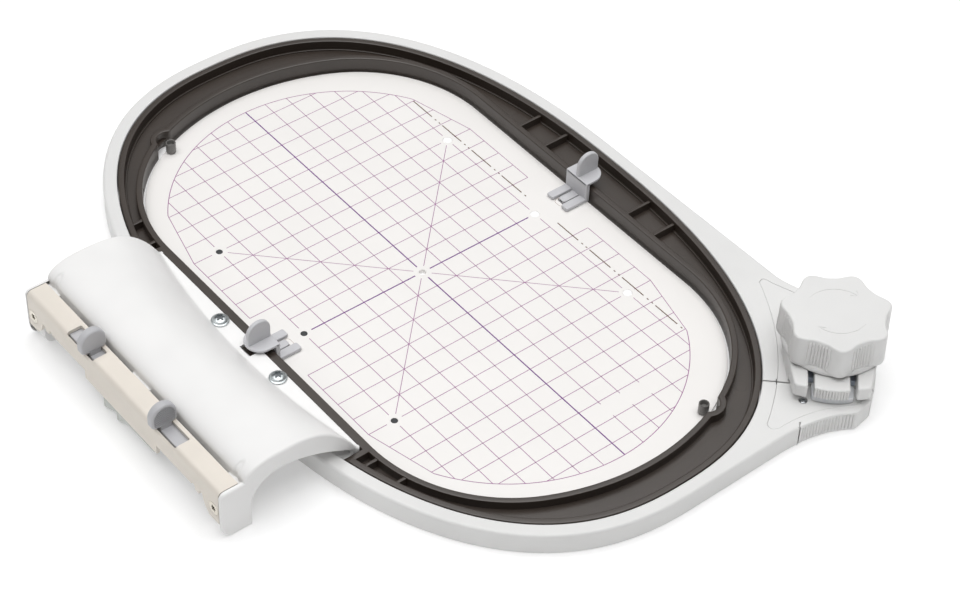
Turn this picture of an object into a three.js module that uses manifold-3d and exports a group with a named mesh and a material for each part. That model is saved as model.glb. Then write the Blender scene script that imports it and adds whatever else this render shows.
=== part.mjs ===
// Machine embroidery hoop, in millimetres, +Z up.
// A split outer ring with a twist clamp holds a lift-out inner ring. A stitch template with two snap
// clips lies inside the inner ring. An arched coupling with two squeeze levers joins it to the machine.
import * as THREE from 'three';
import { mergeVertices } from 'three/addons/utils/BufferGeometryUtils.js';
import Module from 'manifold-3d';

const wasm = await Module();
wasm.setup();

// Fits and clearances
const SEAT_GAP = 0.3;
const FABRIC_GAP = 0.4;
const CUT_MARGIN = 2;
const FAR_AWAY = 400;

// Outer ring: the fabric boundary is a bowed oval, |x/a|^n + |y/b|^n = 1
const RING_HALF_LENGTH = 156.2;
const RING_HALF_WIDTH = 100.7;
const RING_POWER = 2.42;
const RING_SIDES = 144;
const RING_BAND = 6;
const RING_HEIGHT = 9.8;
const RING_SPLIT = 0.8;

// Inner ring: a channel of two walls on a raised floor
const INNER_BOTTOM = 0.3;
const INNER_WALL = 2.7;
const INNER_WALL_TOP = 8.8;
const INNER_TOP_DROP = 0.1;
const CHANNEL_FLOOR_TOP = 4.9;
const CHANNEL_FLOOR = 2;
const RIB_THICKNESS = 1.5;
const RIB_TOP = 8.4;
const FAR_RIBS = [27.2, 43.9];
const NEAR_RIBS = [76, 90];
const RECESS_RADIUS = 5.5;
const RECESS_INSET = 2.8;
const RECESS_ANGLE_RIGHT = THREE.MathUtils.degToRad(19.8);
const RECESS_ANGLE_LEFT = THREE.MathUtils.degToRad(26.4);

// Opening of the inner ring: straight sides, corner arcs and flatter end arcs
const CHANNEL_END = 17.2;
const CHANNEL_SIDE = 19.2;
const OPENING_CORNER = 66;
const OPENING_END = 101;

// Template sheet with its seven marking holes
const TEMPLATE_CLEARANCE = 1;
const TEMPLATE_BOTTOM = 0.5;
const TEMPLATE_THICKNESS = 1.5;
const PRINT_SHIFT = new THREE.Vector2(-0.7, -2.6);
const MARK_SPACING = 60;
const MARK_HOLE = 2;
const CENTRE_HOLE = 1.5;
const PEG_INSET = 3.4;
const PEG_RADIUS = 2.2;
const PEG_SHANK = 1.2;
const PEG_TOP = 7.3;
const PEG_EDGE = 0.4;

// Template clips: two prongs on the sheet, a web, a round plate over the wall and a thumb tab
const CLIP_WIDTH = 13.4;
const CLIP_WEB = 2;
const CLIP_PLATE = 1.2;
const CLIP_LIFT = 1.2;
const CLIP_PLATE_REACH = 9.6;
const CLIP_PRONG_LENGTH = 10.4;
const CLIP_PRONG_WIDTH = 4;
const CLIP_PRONG_HEIGHT = 1.5;
const CLIP_TONGUE_WIDTH = 3.8;
const CLIP_TONGUE_LENGTH = 8;
const CLIP_TONGUE_HEIGHT = 1;
const CLIP_HOOK_LENGTH = 2.6;
const CLIP_TAB_THICKNESS = 1.9;
const CLIP_TAB_HEIGHT = 10.2;
const CLIP_TAB_INSET = 0.4;

// Coupling cover: flange plate on the ring's bridge, lofted arch, end cheeks with legs.
// Its depths run forward from the flange's edge at the inner ring.
const COUPLING_HALF_LENGTH = 68.5;
const NEAR_WALL = 3.9;
const BRIDGE_TOP = 6.9;
const FLANGE_OVERLAP = 1.5;
const FOOT_RUN_MIDDLE = 8.1;
const FOOT_RUN_END = 1;
const FOOT_POWER_AT_MIDDLE = 1.9;
const FOOT_POWER_AT_END = 3.1;
const CREST_RUN = 36.8;
const ARCH_TOP = 31;
const BACK_RUN = 16;
const ARCH_BACK_POWER = 2.2;
const ARCH_SHELL = 4;
const ARCH_STATIONS = 16;
const ARCH_STEPS = 10;
const ARCH_WALL_BOTTOM = 11.2;
const CHEEK_WIDTH = 5;
const CHEEK_VAULT_TOP = 22.2;
const VAULT_FOOT_RUN = 3.6;
const VAULT_CREST_LAG = 0.6;
const CHEEK_RIM = 1.7;
const LEG_WIDTH = 10;
const LEG_WALL = 3;
const LEG_TOE = 5.8;
const LEG_CORNER = 7;
const NOTCH_HALF_WIDTH = 3.5;
const NOTCH_DEPTH = 5.6;

// Sheet-metal rail with two lever slots, behind the arch
const RAIL_TOP = 24;
const RAIL_CLEARANCE = 1.6;
const RAIL_DEPTH = 9.1;
const RAIL_SHEET = 1.5;
const RAIL_BEND = 2.6;
const RAIL_EDGE_MIDDLE = 9.8;
const RAIL_EDGE_SIDE = 12.6;
const RAIL_EDGE_TONGUE = 7.2;
const RAIL_MIDDLE_HALF = 25.4;
const RAIL_TONGUE = 13;
const SLOT_INNER = 19;
const SLOT_OUTER = 37.8;
const SLOT_BACK_RUN = 1.7;
const SLOT_FRONT_RIM = 0.7;

// Squeeze levers, their springs and the shelf below them
const LEVER_TRAVEL = 3.3;
const LEVER_THUMB = 4;
const LEVER_WIDTH = 11.4;
const LEVER_TOP = 34.3;
const LEVER_RUN = 5.2;
const LEVER_LIFT = 0.4;
const SLIDER_INNER = 20;
const SLIDER_LENGTH = 26;
const SLIDER_HEIGHT = 7;
const SLIDER_BACK_RUN = 0.4;
const SLIDER_FRONT_RIM = 1.9;
const SHELF_FRONT_RIM = 3.8;
const SHELF_END = 8.5;
const STOP_HALF_WIDTH = 6;
const SPIGOT_RADIUS = 1.5;
const SLIDER_SPIGOT = 5;
const STOP_SPIGOT = 3;
const SPRING_RADIUS = 2.4;
const SPRING_WIRE = 0.4;
const SPRING_TURNS = 6;
const SPRING_STEPS_PER_TURN = 8;
const SPRING_SIDES = 5;

// Stepped plate below the rail
const CODE_TAB_THICKNESS = 1.6;
const CODE_TAB_TOP = 14.6;
const CODE_TAB_SHOULDER = 10;
const CODE_TAB_TOE = 0.2;
const CODE_TAB_STEP = 4.5;
const CODE_TAB_EDGES = [-15.9, -6.9, -6.5, 0.4, 19.7, 24];

// Screws
const RING_SCREW_X = 19.9;
const RING_SCREW_RUN = 3.9;
const RING_SCREW_HEAD = 3.7;
const RING_SCREW_RISE = 2.2;
const RAIL_SCREW_INSET = 5.5;
const RAIL_SCREW_Z = 13.2;
const RAIL_SCREW_HEAD = 3;
const SCREW_SHANK = 1.5;
const SCREW_LENGTH = 6.5;

// Clamp: its own frame has +X pointing out of the hoop and +Y along the ring, away from the split
const CLAMP_FROM_END = 15.9;
const CLAMP_FROM_SIDE = 9.4;
const CLAMP_ANGLE = THREE.MathUtils.degToRad(46.5);
const SPLIT_OFFSET = -16.3;
const FAR_FLANK = new THREE.Vector2(-20, 45);
const FAR_FLANK_REACH = 8;
const NEAR_FLANK = new THREE.Vector2(-17.5, -46);
const NEAR_FLANK_REACH = 21.2;
const EAR_NOSE = new THREE.Vector2(11.7, 29.8);
const EAR_TIP = new THREE.Vector2(17.3, 22);
const EAR_END = 19.6;

// Inlay panels on the two ears, and the ribbed grip
const PANEL_THICKNESS = 1.6;
const PANEL_WAIST_BEND = -13.8;
const PANEL_END = 14.6;
const PANEL_FAR = {
  horn: [-27.2, 39.8],
  tip: [-26.5, 44],
  shoulder: [-22.5, 40.6],
  bend: [-12, 34.5],
  nose: [10.6, 25.4],
};
const PANEL_NEAR = {
  horn: [-23.7, -39.8],
  tip: [-22.6, -43.6],
  shoulder: [-18.6, -41.2],
  bend: [-6.2, -28.8],
  nose: [10.6, -25.6],
};
const PANEL_CHAMFER = 4;
const GRIP_DEPTH = 3;
const GRIP_START = -10.8;
const GRIP_GROOVES = 16;
const GROOVE_RADIUS = 0.5;

// Yoke, axle, cam and draw block. The knob turns about the yoke's middle; the axle, cam, draw block,
// lug and knob are drawn about that axis.
const YOKE_MIDDLE = 1;
const YOKE_FRONT_HALF = 15.1;
const YOKE_BACK_RADIUS = 19.2;
const YOKE_SLOT_HALF = 9.6;
const YOKE_FRONT = -26.8;
const YOKE_FLOOR = 2.6;
const YOKE_HEIGHT = 8.8;
const YOKE_SLOT_END = 9.4;
const ARM_CORNER = 1.5;
const AXLE_RADIUS = 2;
const AXLE_HEAD = 4.5;
const AXLE_HEAD_BOTTOM = 0.6;
const AXLE_HEAD_HEIGHT = 2.4;
const AXLE_TOP = 29.5;
const CAM_RADIUS = 4.8;
const CAM_THROW = 1.5;
const EYE_WALL = 1.6;
const EYE_PLAY = 0.7;
const DRAW_HEIGHT = 5.7;
const DRAW_ARM_LEFT = -7.2;
const DRAW_ARM_RIGHT = 6.8;
const DRAW_FRONT_RADIUS = 27.6;
const DRAW_GROOVES = 11;
const LUG_SETBACK = 0.4;
const LUG_LEFT = -8.6;
const LUG_RIGHT = 9.2;
const LUG_BACK = -17.6;
const LUG_HEIGHT = 2.5;
const STOP_PIN = new THREE.Vector2(-9.6, -25.3);
const STOP_PIN_RADIUS = 1.5;
const STOP_PIN_BOTTOM = 3;
const STOP_PIN_TOP = 10.1;

// Twist knob
const KNOB_LOBES = 7;
const KNOB_STEPS_PER_LOBE = 12;
const KNOB_VALLEY = 19.2;
const KNOB_LOBE_RISE = 3.2;
const KNOB_LOBE_POWER = 1.5;
const KNOB_PHASE = THREE.MathUtils.degToRad(-84.5);
const KNOB_TOP = 35;
const KNOB_DISC = 19.4;
const KNOB_DISC_HEIGHT = 1.6;
const KNOB_EDGE = 1.2;

// Places that follow from the ring and from each other
const openingHalfLength = RING_HALF_LENGTH - CHANNEL_END;
const openingHalfWidth = RING_HALF_WIDTH - CHANNEL_SIDE;
const nearWallOuter = openingHalfWidth + NEAR_WALL;
const flangeEdge = nearWallOuter + FABRIC_GAP;
const footAtMiddle = flangeEdge + FOOT_RUN_MIDDLE;
const footAtEnd = flangeEdge + FOOT_RUN_END;
const archCrest = flangeEdge + CREST_RUN;
const archBack = archCrest + BACK_RUN;
const vaultFoot = flangeEdge + VAULT_FOOT_RUN;
const vaultCrest = archCrest - VAULT_CREST_LAG;
const legInner = archBack - LEG_WALL;
const railBack = archBack + RAIL_CLEARANCE;
const railFront = railBack + RAIL_DEPTH;
const legSole = railFront - LEG_TOE;
const slotBack = railBack + SLOT_BACK_RUN;
const slotFront = railFront - SLOT_FRONT_RIM;
const leverCentre = railBack + LEVER_RUN;
const sliderBack = railBack + SLIDER_BACK_RUN;
const sliderFront = railFront - SLIDER_FRONT_RIM;
const shelfFront = railFront - SHELF_FRONT_RIM;
const shelfOuter = COUPLING_HALF_LENGTH - LEG_WIDTH - SHELF_END;
const railTongueStart = COUPLING_HALF_LENGTH - RAIL_TONGUE;
const railScrewX = COUPLING_HALF_LENGTH - RAIL_SCREW_INSET;
const ringScrewY = -flangeEdge - RING_SCREW_RUN;
const clampCentre = new THREE.Vector2(RING_HALF_LENGTH - CLAMP_FROM_END, RING_HALF_WIDTH - CLAMP_FROM_SIDE);

// Looks
const WHITE_PLASTIC = { color: 0xeeeeec, roughness: 0.45, metalness: 0 };
const DARK_PLASTIC = { color: 0x3f3833, roughness: 0.55, metalness: 0 };
const PRINTED_SHEET = { color: 0xf7f3f0, roughness: 0.3, metalness: 0 };
const GREY_PLASTIC = { color: 0xcbcbce, roughness: 0.5, metalness: 0 };
const TAB_PLASTIC = { color: 0xdfe2dc, roughness: 0.35, metalness: 0 };
const RAIL_METAL = { color: 0xcfc5b7, roughness: 0.42, metalness: 0.6 };
const ZINC_STEEL = { color: 0xb9c2c8, roughness: 0.25, metalness: 1 };

// Geometry helpers

function solid(geometry) {
  const bare = geometry.clone();
  bare.deleteAttribute('normal');
  bare.deleteAttribute('uv');
  const merged = mergeVertices(bare, 1e-4);
  return new wasm.Manifold(new wasm.Mesh({
    numProp: 3,
    vertProperties: Float32Array.from(merged.attributes.position.array),
    triVerts: Uint32Array.from(merged.index.array),
  }));
}

function meshOf(name, body, look) {
  const { vertProperties, triVerts } = body.getMesh();
  const geometry = new THREE.BufferGeometry();
  geometry.setAttribute('position', new THREE.BufferAttribute(Float32Array.from(vertProperties), 3));
  geometry.setIndex(new THREE.BufferAttribute(Uint32Array.from(triVerts), 1));
  geometry.computeVertexNormals();
  const mesh = new THREE.Mesh(geometry, new THREE.MeshStandardMaterial(look));
  mesh.name = name;
  return mesh;
}

function union(bodies) {
  return bodies.reduce((sum, body) => sum.add(body));
}

function without(body, cuts) {
  return cuts.reduce((rest, cut) => rest.subtract(cut), body);
}

function prism(shape, bottom, top, place = null) {
  const geometry = new THREE.ExtrudeGeometry(shape, {
    depth: top - bottom,
    bevelEnabled: false,
    curveSegments: 10,
  });
  geometry.translate(0, 0, bottom);
  if (place) geometry.applyMatrix4(place);
  return solid(geometry);
}

// A box between two values on each axis, given in either order
function block(xs, ys, zs, place = null) {
  const sizes = [xs, ys, zs].map(([a, b]) => Math.abs(b - a));
  const geometry = new THREE.BoxGeometry(...sizes);
  geometry.translate((xs[0] + xs[1]) / 2, (ys[0] + ys[1]) / 2, (zs[0] + zs[1]) / 2);
  if (place) geometry.applyMatrix4(place);
  return solid(geometry);
}

function drum(x, y, radius, bottom, top, place = null, sides = 24) {
  const geometry = new THREE.CylinderGeometry(radius, radius, top - bottom, sides);
  geometry.rotateX(Math.PI / 2);
  geometry.translate(x, y, (bottom + top) / 2);
  if (place) geometry.applyMatrix4(place);
  return solid(geometry);
}

// A turned piece about +Z from (radius, height) points, bottom first
function turned(profile, place = null) {
  const geometry = new THREE.LatheGeometry(profile.map(([r, h]) => new THREE.Vector2(r, h)), 24);
  geometry.rotateX(Math.PI / 2);
  if (place) geometry.applyMatrix4(place);
  return solid(geometry);
}

// Matrices that stand a drawn profile up: (y, z) drawn out along X, and (x, z) drawn out along -Y
const xAxis = new THREE.Vector3(1, 0, 0);
const yAxis = new THREE.Vector3(0, 1, 0);
const zAxis = new THREE.Vector3(0, 0, 1);
const alongX = new THREE.Matrix4().makeBasis(yAxis, zAxis, xAxis);
const alongMinusY = new THREE.Matrix4().makeBasis(xAxis, zAxis, yAxis.clone().negate());

// A span of x on the left (-1) or right (+1) half, low value first
function spanOn(side, inner, outer) {
  return [side * inner, side * outer].sort((a, b) => a - b);
}

function polygon(points) {
  return new THREE.Shape(points.map(([x, y]) => new THREE.Vector2(x, y)));
}

function circlePath(x, y, radius) {
  const path = new THREE.Path();
  path.absarc(x, y, radius, 0, 2 * Math.PI, true);
  return path;
}

// Outlines of ring and opening

function signedPower(value, power) {
  return Math.sign(value) * Math.abs(value) ** power;
}

function ringOutline(offset) {
  const points = [];
  for (let step = 0; step < RING_SIDES; step += 1) {
    const angle = (2 * Math.PI * step) / RING_SIDES;
    const x = signedPower(Math.cos(angle), 2 / RING_POWER);
    const y = signedPower(Math.sin(angle), 2 / RING_POWER);
    const outward = new THREE.Vector2(
      signedPower(x, RING_POWER - 1) / RING_HALF_LENGTH,
      signedPower(y, RING_POWER - 1) / RING_HALF_WIDTH);
    const point = new THREE.Vector2(RING_HALF_LENGTH * x, RING_HALF_WIDTH * y);
    points.push(point.addScaledVector(outward.normalize(), offset));
  }
  return new THREE.Shape(points);
}

function openingArcs(offset) {
  const corner = OPENING_CORNER + offset;
  const end = OPENING_END + offset;
  const endCentre = openingHalfLength - OPENING_END;
  const cornerY = openingHalfWidth - OPENING_CORNER;
  const cornerX = endCentre + Math.sqrt((end - corner) ** 2 - cornerY ** 2);
  const turn = Math.atan2(cornerY, cornerX - endCentre);
  return { corner, end, endCentre, cornerX, cornerY, turn };
}

function openingOutline(offset) {
  const { corner, end, endCentre, cornerX, cornerY, turn } = openingArcs(offset);
  const shape = new THREE.Shape();
  shape.absarc(endCentre, 0, end, -turn, turn, false);
  shape.absarc(cornerX, cornerY, corner, turn, Math.PI / 2, false);
  shape.absarc(-cornerX, cornerY, corner, Math.PI / 2, Math.PI - turn, false);
  shape.absarc(-endCentre, 0, end, Math.PI - turn, Math.PI + turn, false);
  shape.absarc(-cornerX, -cornerY, corner, Math.PI + turn, 1.5 * Math.PI, false);
  shape.absarc(cornerX, -cornerY, corner, 1.5 * Math.PI, 2 * Math.PI - turn, false);
  return shape;
}

// Clamp frame and the outlines drawn in it

const clampMatrix = new THREE.Matrix4()
  .makeRotationZ(CLAMP_ANGLE)
  .setPosition(clampCentre.x, clampCentre.y, 0);

function toHoop(point) {
  const placed = new THREE.Vector3(point.x, point.y, 0).applyMatrix4(clampMatrix);
  return new THREE.Vector2(placed.x, placed.y);
}

function mirrored(point) {
  return new THREE.Vector2(point.x, -point.y);
}

// The far flank runs along the hoop's X, the near flank along its Y
const farFlankRun = new THREE.Vector2(Math.cos(CLAMP_ANGLE), -Math.sin(CLAMP_ANGLE));
const nearFlankRun = new THREE.Vector2(Math.sin(CLAMP_ANGLE), Math.cos(CLAMP_ANGLE));
const farEdge = new THREE.QuadraticBezierCurve(
  EAR_NOSE, FAR_FLANK.clone().addScaledVector(farFlankRun, FAR_FLANK_REACH), FAR_FLANK);
const nearEdge = new THREE.QuadraticBezierCurve(
  NEAR_FLANK, NEAR_FLANK.clone().addScaledVector(nearFlankRun, NEAR_FLANK_REACH), mirrored(EAR_NOSE));

function curveOn(shape, bend, end) {
  shape.quadraticCurveTo(bend.x, bend.y, end.x, end.y);
}

// Both ears in one outline; the flank lines leave the ring at its right-hand and far vertex
function earOutline() {
  const near = nearEdge.getPoints(12).map(toHoop);
  const far = farEdge.getPoints(12).map(toHoop);
  const tip = new THREE.QuadraticBezierCurve(
    mirrored(EAR_TIP), new THREE.Vector2(2 * EAR_END - EAR_TIP.x, 0), EAR_TIP);
  return new THREE.Shape([
    new THREE.Vector2(0, 0),
    new THREE.Vector2(RING_HALF_LENGTH + RING_BAND, 0),
    ...near,
    ...tip.getPoints(6).map(toHoop),
    ...far,
    new THREE.Vector2(0, RING_HALF_WIDTH + RING_BAND),
  ]);
}

// One inlay outline over both ears, in the clamp frame, drawn in by an inset
function panelOutline(inset) {
  const drawnIn = ([x, y], outward = 0) => new THREE.Vector2(x + outward * inset, y - Math.sign(y) * inset);
  const near = PANEL_NEAR;
  const far = PANEL_FAR;
  const nearHorn = drawnIn(near.horn, 1);
  const farHorn = drawnIn(far.horn, 1);
  const shape = new THREE.Shape();
  shape.moveTo(nearHorn.x, nearHorn.y);
  curveOn(shape, drawnIn(near.tip, 1), drawnIn(near.shoulder));
  curveOn(shape, drawnIn(near.bend), drawnIn(near.nose));
  shape.lineTo(PANEL_END - inset, near.nose[1] + PANEL_CHAMFER);
  shape.lineTo(PANEL_END - inset, far.nose[1] - PANEL_CHAMFER);
  shape.lineTo(...drawnIn(far.nose).toArray());
  curveOn(shape, drawnIn(far.bend), drawnIn(far.shoulder));
  curveOn(shape, drawnIn(far.tip, 1), farHorn);
  shape.quadraticCurveTo(PANEL_WAIST_BEND + inset, 0, nearHorn.x, nearHorn.y);
  return shape;
}

// Heights that follow from the pieces they rest on
const panelBottom = RING_HEIGHT - PANEL_THICKNESS;
const templateTop = TEMPLATE_BOTTOM + TEMPLATE_THICKNESS;
const clipFoot = templateTop + SEAT_GAP;
const clipPlateBottom = RING_HEIGHT + CLIP_LIFT;
const clipPlateTop = clipPlateBottom + CLIP_PLATE;
const clipFace = openingHalfWidth - SEAT_GAP;
const clipWebInner = clipFace - CLIP_WEB;
const tongueTip = clipWebInner - CLIP_TONGUE_LENGTH;
const flangeBottom = BRIDGE_TOP + SEAT_GAP;
const cheekInner = COUPLING_HALF_LENGTH - CHEEK_WIDTH;
const railUnderside = RAIL_TOP - RAIL_SHEET;
const sliderTop = railUnderside - SEAT_GAP;
const sliderBottom = sliderTop - SLIDER_HEIGHT;
const springAxisY = -(sliderBack + sliderFront) / 2;
const springAxisZ = (sliderTop + sliderBottom) / 2;
const shelfTop = sliderBottom - SEAT_GAP;
const seatOnEar = RING_HEIGHT + SEAT_GAP;
const yokeTop = seatOnEar + YOKE_HEIGHT;
const drawBottom = seatOnEar + YOKE_FLOOR + SEAT_GAP;
const drawTop = drawBottom + DRAW_HEIGHT;
const knobBottom = yokeTop + 2 * SEAT_GAP;

// Outer ring with ears, bridge, panel beds and bores

// Strip along the near ear's outer side that the ribbed grip takes
function gripStrip(clearance) {
  const depth = GRIP_DEPTH + clearance;
  const inward = new THREE.Matrix4().makeTranslation(
    -depth * Math.sin(CLAMP_ANGLE), depth * Math.cos(CLAMP_ANGLE), 0);
  const low = -CUT_MARGIN * clearance;
  const high = RING_HEIGHT + CUT_MARGIN * clearance;
  const window = block([GRIP_START - clearance, EAR_END], [-FAR_AWAY, -EAR_TIP.y], [low, high], clampMatrix);
  return prism(earOutline(), low, high)
    .subtract(prism(earOutline(), low - 1, high + 1, inward))
    .intersect(window);
}

function splitCut(bottom, top) {
  return block([-RING_HALF_WIDTH / 2, EAR_END + CUT_MARGIN],
    [SPLIT_OFFSET - RING_SPLIT / 2, SPLIT_OFFSET + RING_SPLIT / 2], [bottom, top], clampMatrix);
}

function outerRing() {
  const through = [-CUT_MARGIN, RING_HEIGHT + CUT_MARGIN];
  const ring = prism(ringOutline(RING_BAND), 0, RING_HEIGHT)
    .add(prism(earOutline(), 0, RING_HEIGHT))
    .subtract(prism(ringOutline(0), ...through));
  const bridge = prism(ringOutline(RING_BAND / 2), 0, BRIDGE_TOP).intersect(block(
    [-COUPLING_HALF_LENGTH, COUPLING_HALF_LENGTH], [-FAR_AWAY, -flangeEdge], [0, BRIDGE_TOP]));
  const axleHeadTop = AXLE_HEAD_BOTTOM + AXLE_HEAD_HEIGHT + SEAT_GAP;
  const cuts = [
    splitCut(...through),
    prism(panelOutline(0), panelBottom - SEAT_GAP, RING_HEIGHT + CUT_MARGIN, clampMatrix),
    gripStrip(SEAT_GAP),
    drum(YOKE_MIDDLE, 0, AXLE_RADIUS + SEAT_GAP, -CUT_MARGIN, RING_HEIGHT, clampMatrix),
    drum(YOKE_MIDDLE, 0, AXLE_HEAD + SEAT_GAP, -CUT_MARGIN, axleHeadTop, clampMatrix),
    drum(STOP_PIN.x, STOP_PIN.y, STOP_PIN_RADIUS + SEAT_GAP,
      STOP_PIN_BOTTOM - SEAT_GAP, RING_HEIGHT, clampMatrix),
  ];
  for (const side of [-1, 1]) {
    cuts.push(drum(side * RING_SCREW_X, ringScrewY, SCREW_SHANK + SEAT_GAP,
      seatOnEar - SCREW_LENGTH - SEAT_GAP, RING_HEIGHT));
  }
  return without(ring.add(bridge), cuts);
}

function earPanels() {
  const panel = prism(panelOutline(SEAT_GAP), panelBottom, RING_HEIGHT);
  const halfGap = RING_SPLIT / 2;
  const near = block([-FAR_AWAY, FAR_AWAY], [-FAR_AWAY, SPLIT_OFFSET - halfGap], [0, RING_HEIGHT + 1]);
  const far = block([-FAR_AWAY, FAR_AWAY], [SPLIT_OFFSET + halfGap, FAR_AWAY], [0, RING_HEIGHT + 1]);
  const axleBore = drum(YOKE_MIDDLE, 0, AXLE_RADIUS + SEAT_GAP, 0, RING_HEIGHT + 1);
  const pinBore = drum(STOP_PIN.x, STOP_PIN.y, STOP_PIN_RADIUS + SEAT_GAP, 0, RING_HEIGHT + 1);
  return {
    far: panel.intersect(far).subtract(axleBore),
    near: panel.intersect(near).subtract(pinBore),
  };
}

function earGrip() {
  const points = nearEdge.getSpacedPoints(60).filter((point) => point.x > GRIP_START);
  const pitch = (points.length - 1) / GRIP_GROOVES;
  const grooves = [];
  for (let groove = 0; groove < GRIP_GROOVES; groove += 1) {
    const point = points[Math.round((groove + 0.5) * pitch)];
    grooves.push(drum(point.x, point.y, GROOVE_RADIUS, -1, RING_HEIGHT + 1, clampMatrix, 8));
  }
  return without(gripStrip(0), grooves);
}

// Inner ring

function nearWallZone(margin) {
  const reach = COUPLING_HALF_LENGTH + FABRIC_GAP + margin;
  return block([-reach, reach], [-FAR_AWAY, -nearWallOuter + margin], [-FAR_AWAY, FAR_AWAY]);
}

function channelZone(bottom, top) {
  return prism(ringOutline(-FABRIC_GAP - INNER_WALL), bottom, top)
    .subtract(prism(openingOutline(INNER_WALL), bottom - 1, top + 1))
    .subtract(nearWallZone(INNER_WALL));
}

// Places beside the two template recesses, on the right far arc and, half a turn round, the left near arc
function recessPlaces(inset) {
  const { corner, cornerX, cornerY } = openingArcs(-inset);
  const place = (side, angle) => [
    side * (cornerX + corner * Math.cos(angle)),
    side * (cornerY + corner * Math.sin(angle)),
  ];
  return [place(1, RECESS_ANGLE_RIGHT), place(-1, RECESS_ANGLE_LEFT)];
}

function channelRibs() {
  const heights = [CHANNEL_FLOOR_TOP - 1, RIB_TOP];
  const rib = (x, ys) => block([x - RIB_THICKNESS / 2, x + RIB_THICKNESS / 2], ys, heights);
  const ribs = [];
  for (const side of [-1, 1]) {
    for (const x of FAR_RIBS) ribs.push(rib(side * x, [0, FAR_AWAY]));
    for (const x of NEAR_RIBS) ribs.push(rib(side * x, [-FAR_AWAY, 0]));
  }
  return ribs;
}

function innerRing() {
  const above = RING_HEIGHT + CUT_MARGIN;
  const recessPoints = recessPlaces(RECESS_INSET);
  const bosses = recessPoints.map(([x, y]) => drum(
    x, y, RECESS_RADIUS + INNER_WALL, INNER_BOTTOM - 1, INNER_WALL_TOP));
  const recesses = recessPoints.map(([x, y]) => drum(x, y, RECESS_RADIUS, -CUT_MARGIN, above));
  const channel = without(channelZone(CHANNEL_FLOOR_TOP, above), [...channelRibs(), ...bosses]);
  const hollow = without(channelZone(-CUT_MARGIN, CHANNEL_FLOOR_TOP - CHANNEL_FLOOR), bosses);
  const overNearWall = nearWallZone(INNER_WALL).intersect(
    block([-FAR_AWAY, FAR_AWAY], [-FAR_AWAY, 0], [INNER_WALL_TOP, above]));
  const blank = prism(ringOutline(-FABRIC_GAP), INNER_BOTTOM, RING_HEIGHT - INNER_TOP_DROP);
  const locatorHalf = NOTCH_HALF_WIDTH - SEAT_GAP;
  const locator = block([-locatorHalf, locatorHalf],
    [-nearWallOuter + 1, -flangeEdge - NOTCH_DEPTH + SEAT_GAP], [flangeBottom, INNER_WALL_TOP]);
  return without(blank, [
    prism(openingOutline(0), -CUT_MARGIN, above),
    nearWallZone(0),
    channel,
    hollow,
    prism(openingOutline(INNER_WALL), INNER_WALL_TOP, above),
    overNearWall,
    ...recesses,
  ]).add(locator);
}

// Template and clips

function template() {
  const shape = openingOutline(-TEMPLATE_CLEARANCE);
  shape.holes.push(circlePath(PRINT_SHIFT.x, PRINT_SHIFT.y, CENTRE_HOLE));
  for (const side of [-1, 1]) {
    for (const column of [-1, 0, 1]) {
      const x = PRINT_SHIFT.x + column * MARK_SPACING;
      shape.holes.push(circlePath(x, PRINT_SHIFT.y + side * MARK_SPACING, MARK_HOLE));
    }
  }
  for (const [x, y] of recessPlaces(PEG_INSET)) shape.holes.push(circlePath(x, y, PEG_SHANK + SEAT_GAP));
  const half = CLIP_TONGUE_WIDTH / 2 + SEAT_GAP;
  const windows = [-1, 1].map((side) => block([-half, half],
    [side * (tongueTip - SEAT_GAP), side * (tongueTip + CLIP_HOOK_LENGTH + SEAT_GAP)],
    [TEMPLATE_BOTTOM - 1, templateTop + 1]));
  return without(prism(shape, TEMPLATE_BOTTOM, templateTop), windows);
}

// Round peg in the sheet's edge that stands in a recess of the inner ring
function templatePeg([x, y]) {
  return turned([
    [0, TEMPLATE_BOTTOM],
    [PEG_SHANK, TEMPLATE_BOTTOM],
    [PEG_SHANK, clipFoot],
    [PEG_RADIUS, clipFoot],
    [PEG_RADIUS, PEG_TOP - PEG_EDGE],
    [PEG_RADIUS - PEG_EDGE, PEG_TOP],
    [0, PEG_TOP],
  ], new THREE.Matrix4().makeTranslation(x, y, 0));
}

// The clip on the far wall; the near one is the same piece turned half round
function templateClip() {
  const half = CLIP_WIDTH / 2;
  const plateEnd = clipFace + CLIP_PLATE_REACH;
  const plate = new THREE.Shape();
  plate.moveTo(-half, clipWebInner);
  plate.lineTo(half, clipWebInner);
  plate.absarc(0, plateEnd - half, half, 0, Math.PI, false);
  const tabStart = clipWebInner + CLIP_TAB_INSET;
  const tabRadius = (plateEnd - CLIP_TAB_INSET - tabStart) / 2;
  const tab = new THREE.Shape();
  tab.moveTo(tabStart, clipPlateBottom + CLIP_PLATE / 2);
  tab.lineTo(tabStart + 2 * tabRadius, clipPlateBottom + CLIP_PLATE / 2);
  tab.absarc(tabStart + tabRadius, clipPlateTop + CLIP_TAB_HEIGHT - tabRadius, tabRadius, 0, Math.PI, false);
  const tongue = [-CLIP_TONGUE_WIDTH / 2, CLIP_TONGUE_WIDTH / 2];
  const tongueTop = clipFoot + CLIP_TONGUE_HEIGHT;
  const pieces = [
    prism(plate, clipPlateBottom, clipPlateTop),
    block([-half, half], [clipWebInner, clipFace], [clipFoot, clipPlateTop]),
    prism(tab, -CLIP_TAB_THICKNESS / 2, CLIP_TAB_THICKNESS / 2, alongX),
    block(tongue, [tongueTip, clipFace], [clipFoot, tongueTop]),
    block(tongue, [tongueTip, tongueTip + CLIP_HOOK_LENGTH], [TEMPLATE_BOTTOM, tongueTop]),
  ];
  for (const side of [-1, 1]) {
    pieces.push(block([side * half, side * (half - CLIP_PRONG_WIDTH)],
      [clipWebInner - CLIP_PRONG_LENGTH, clipFace], [clipFoot, clipFoot + CLIP_PRONG_HEIGHT]));
  }
  return union(pieces);
}

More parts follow.
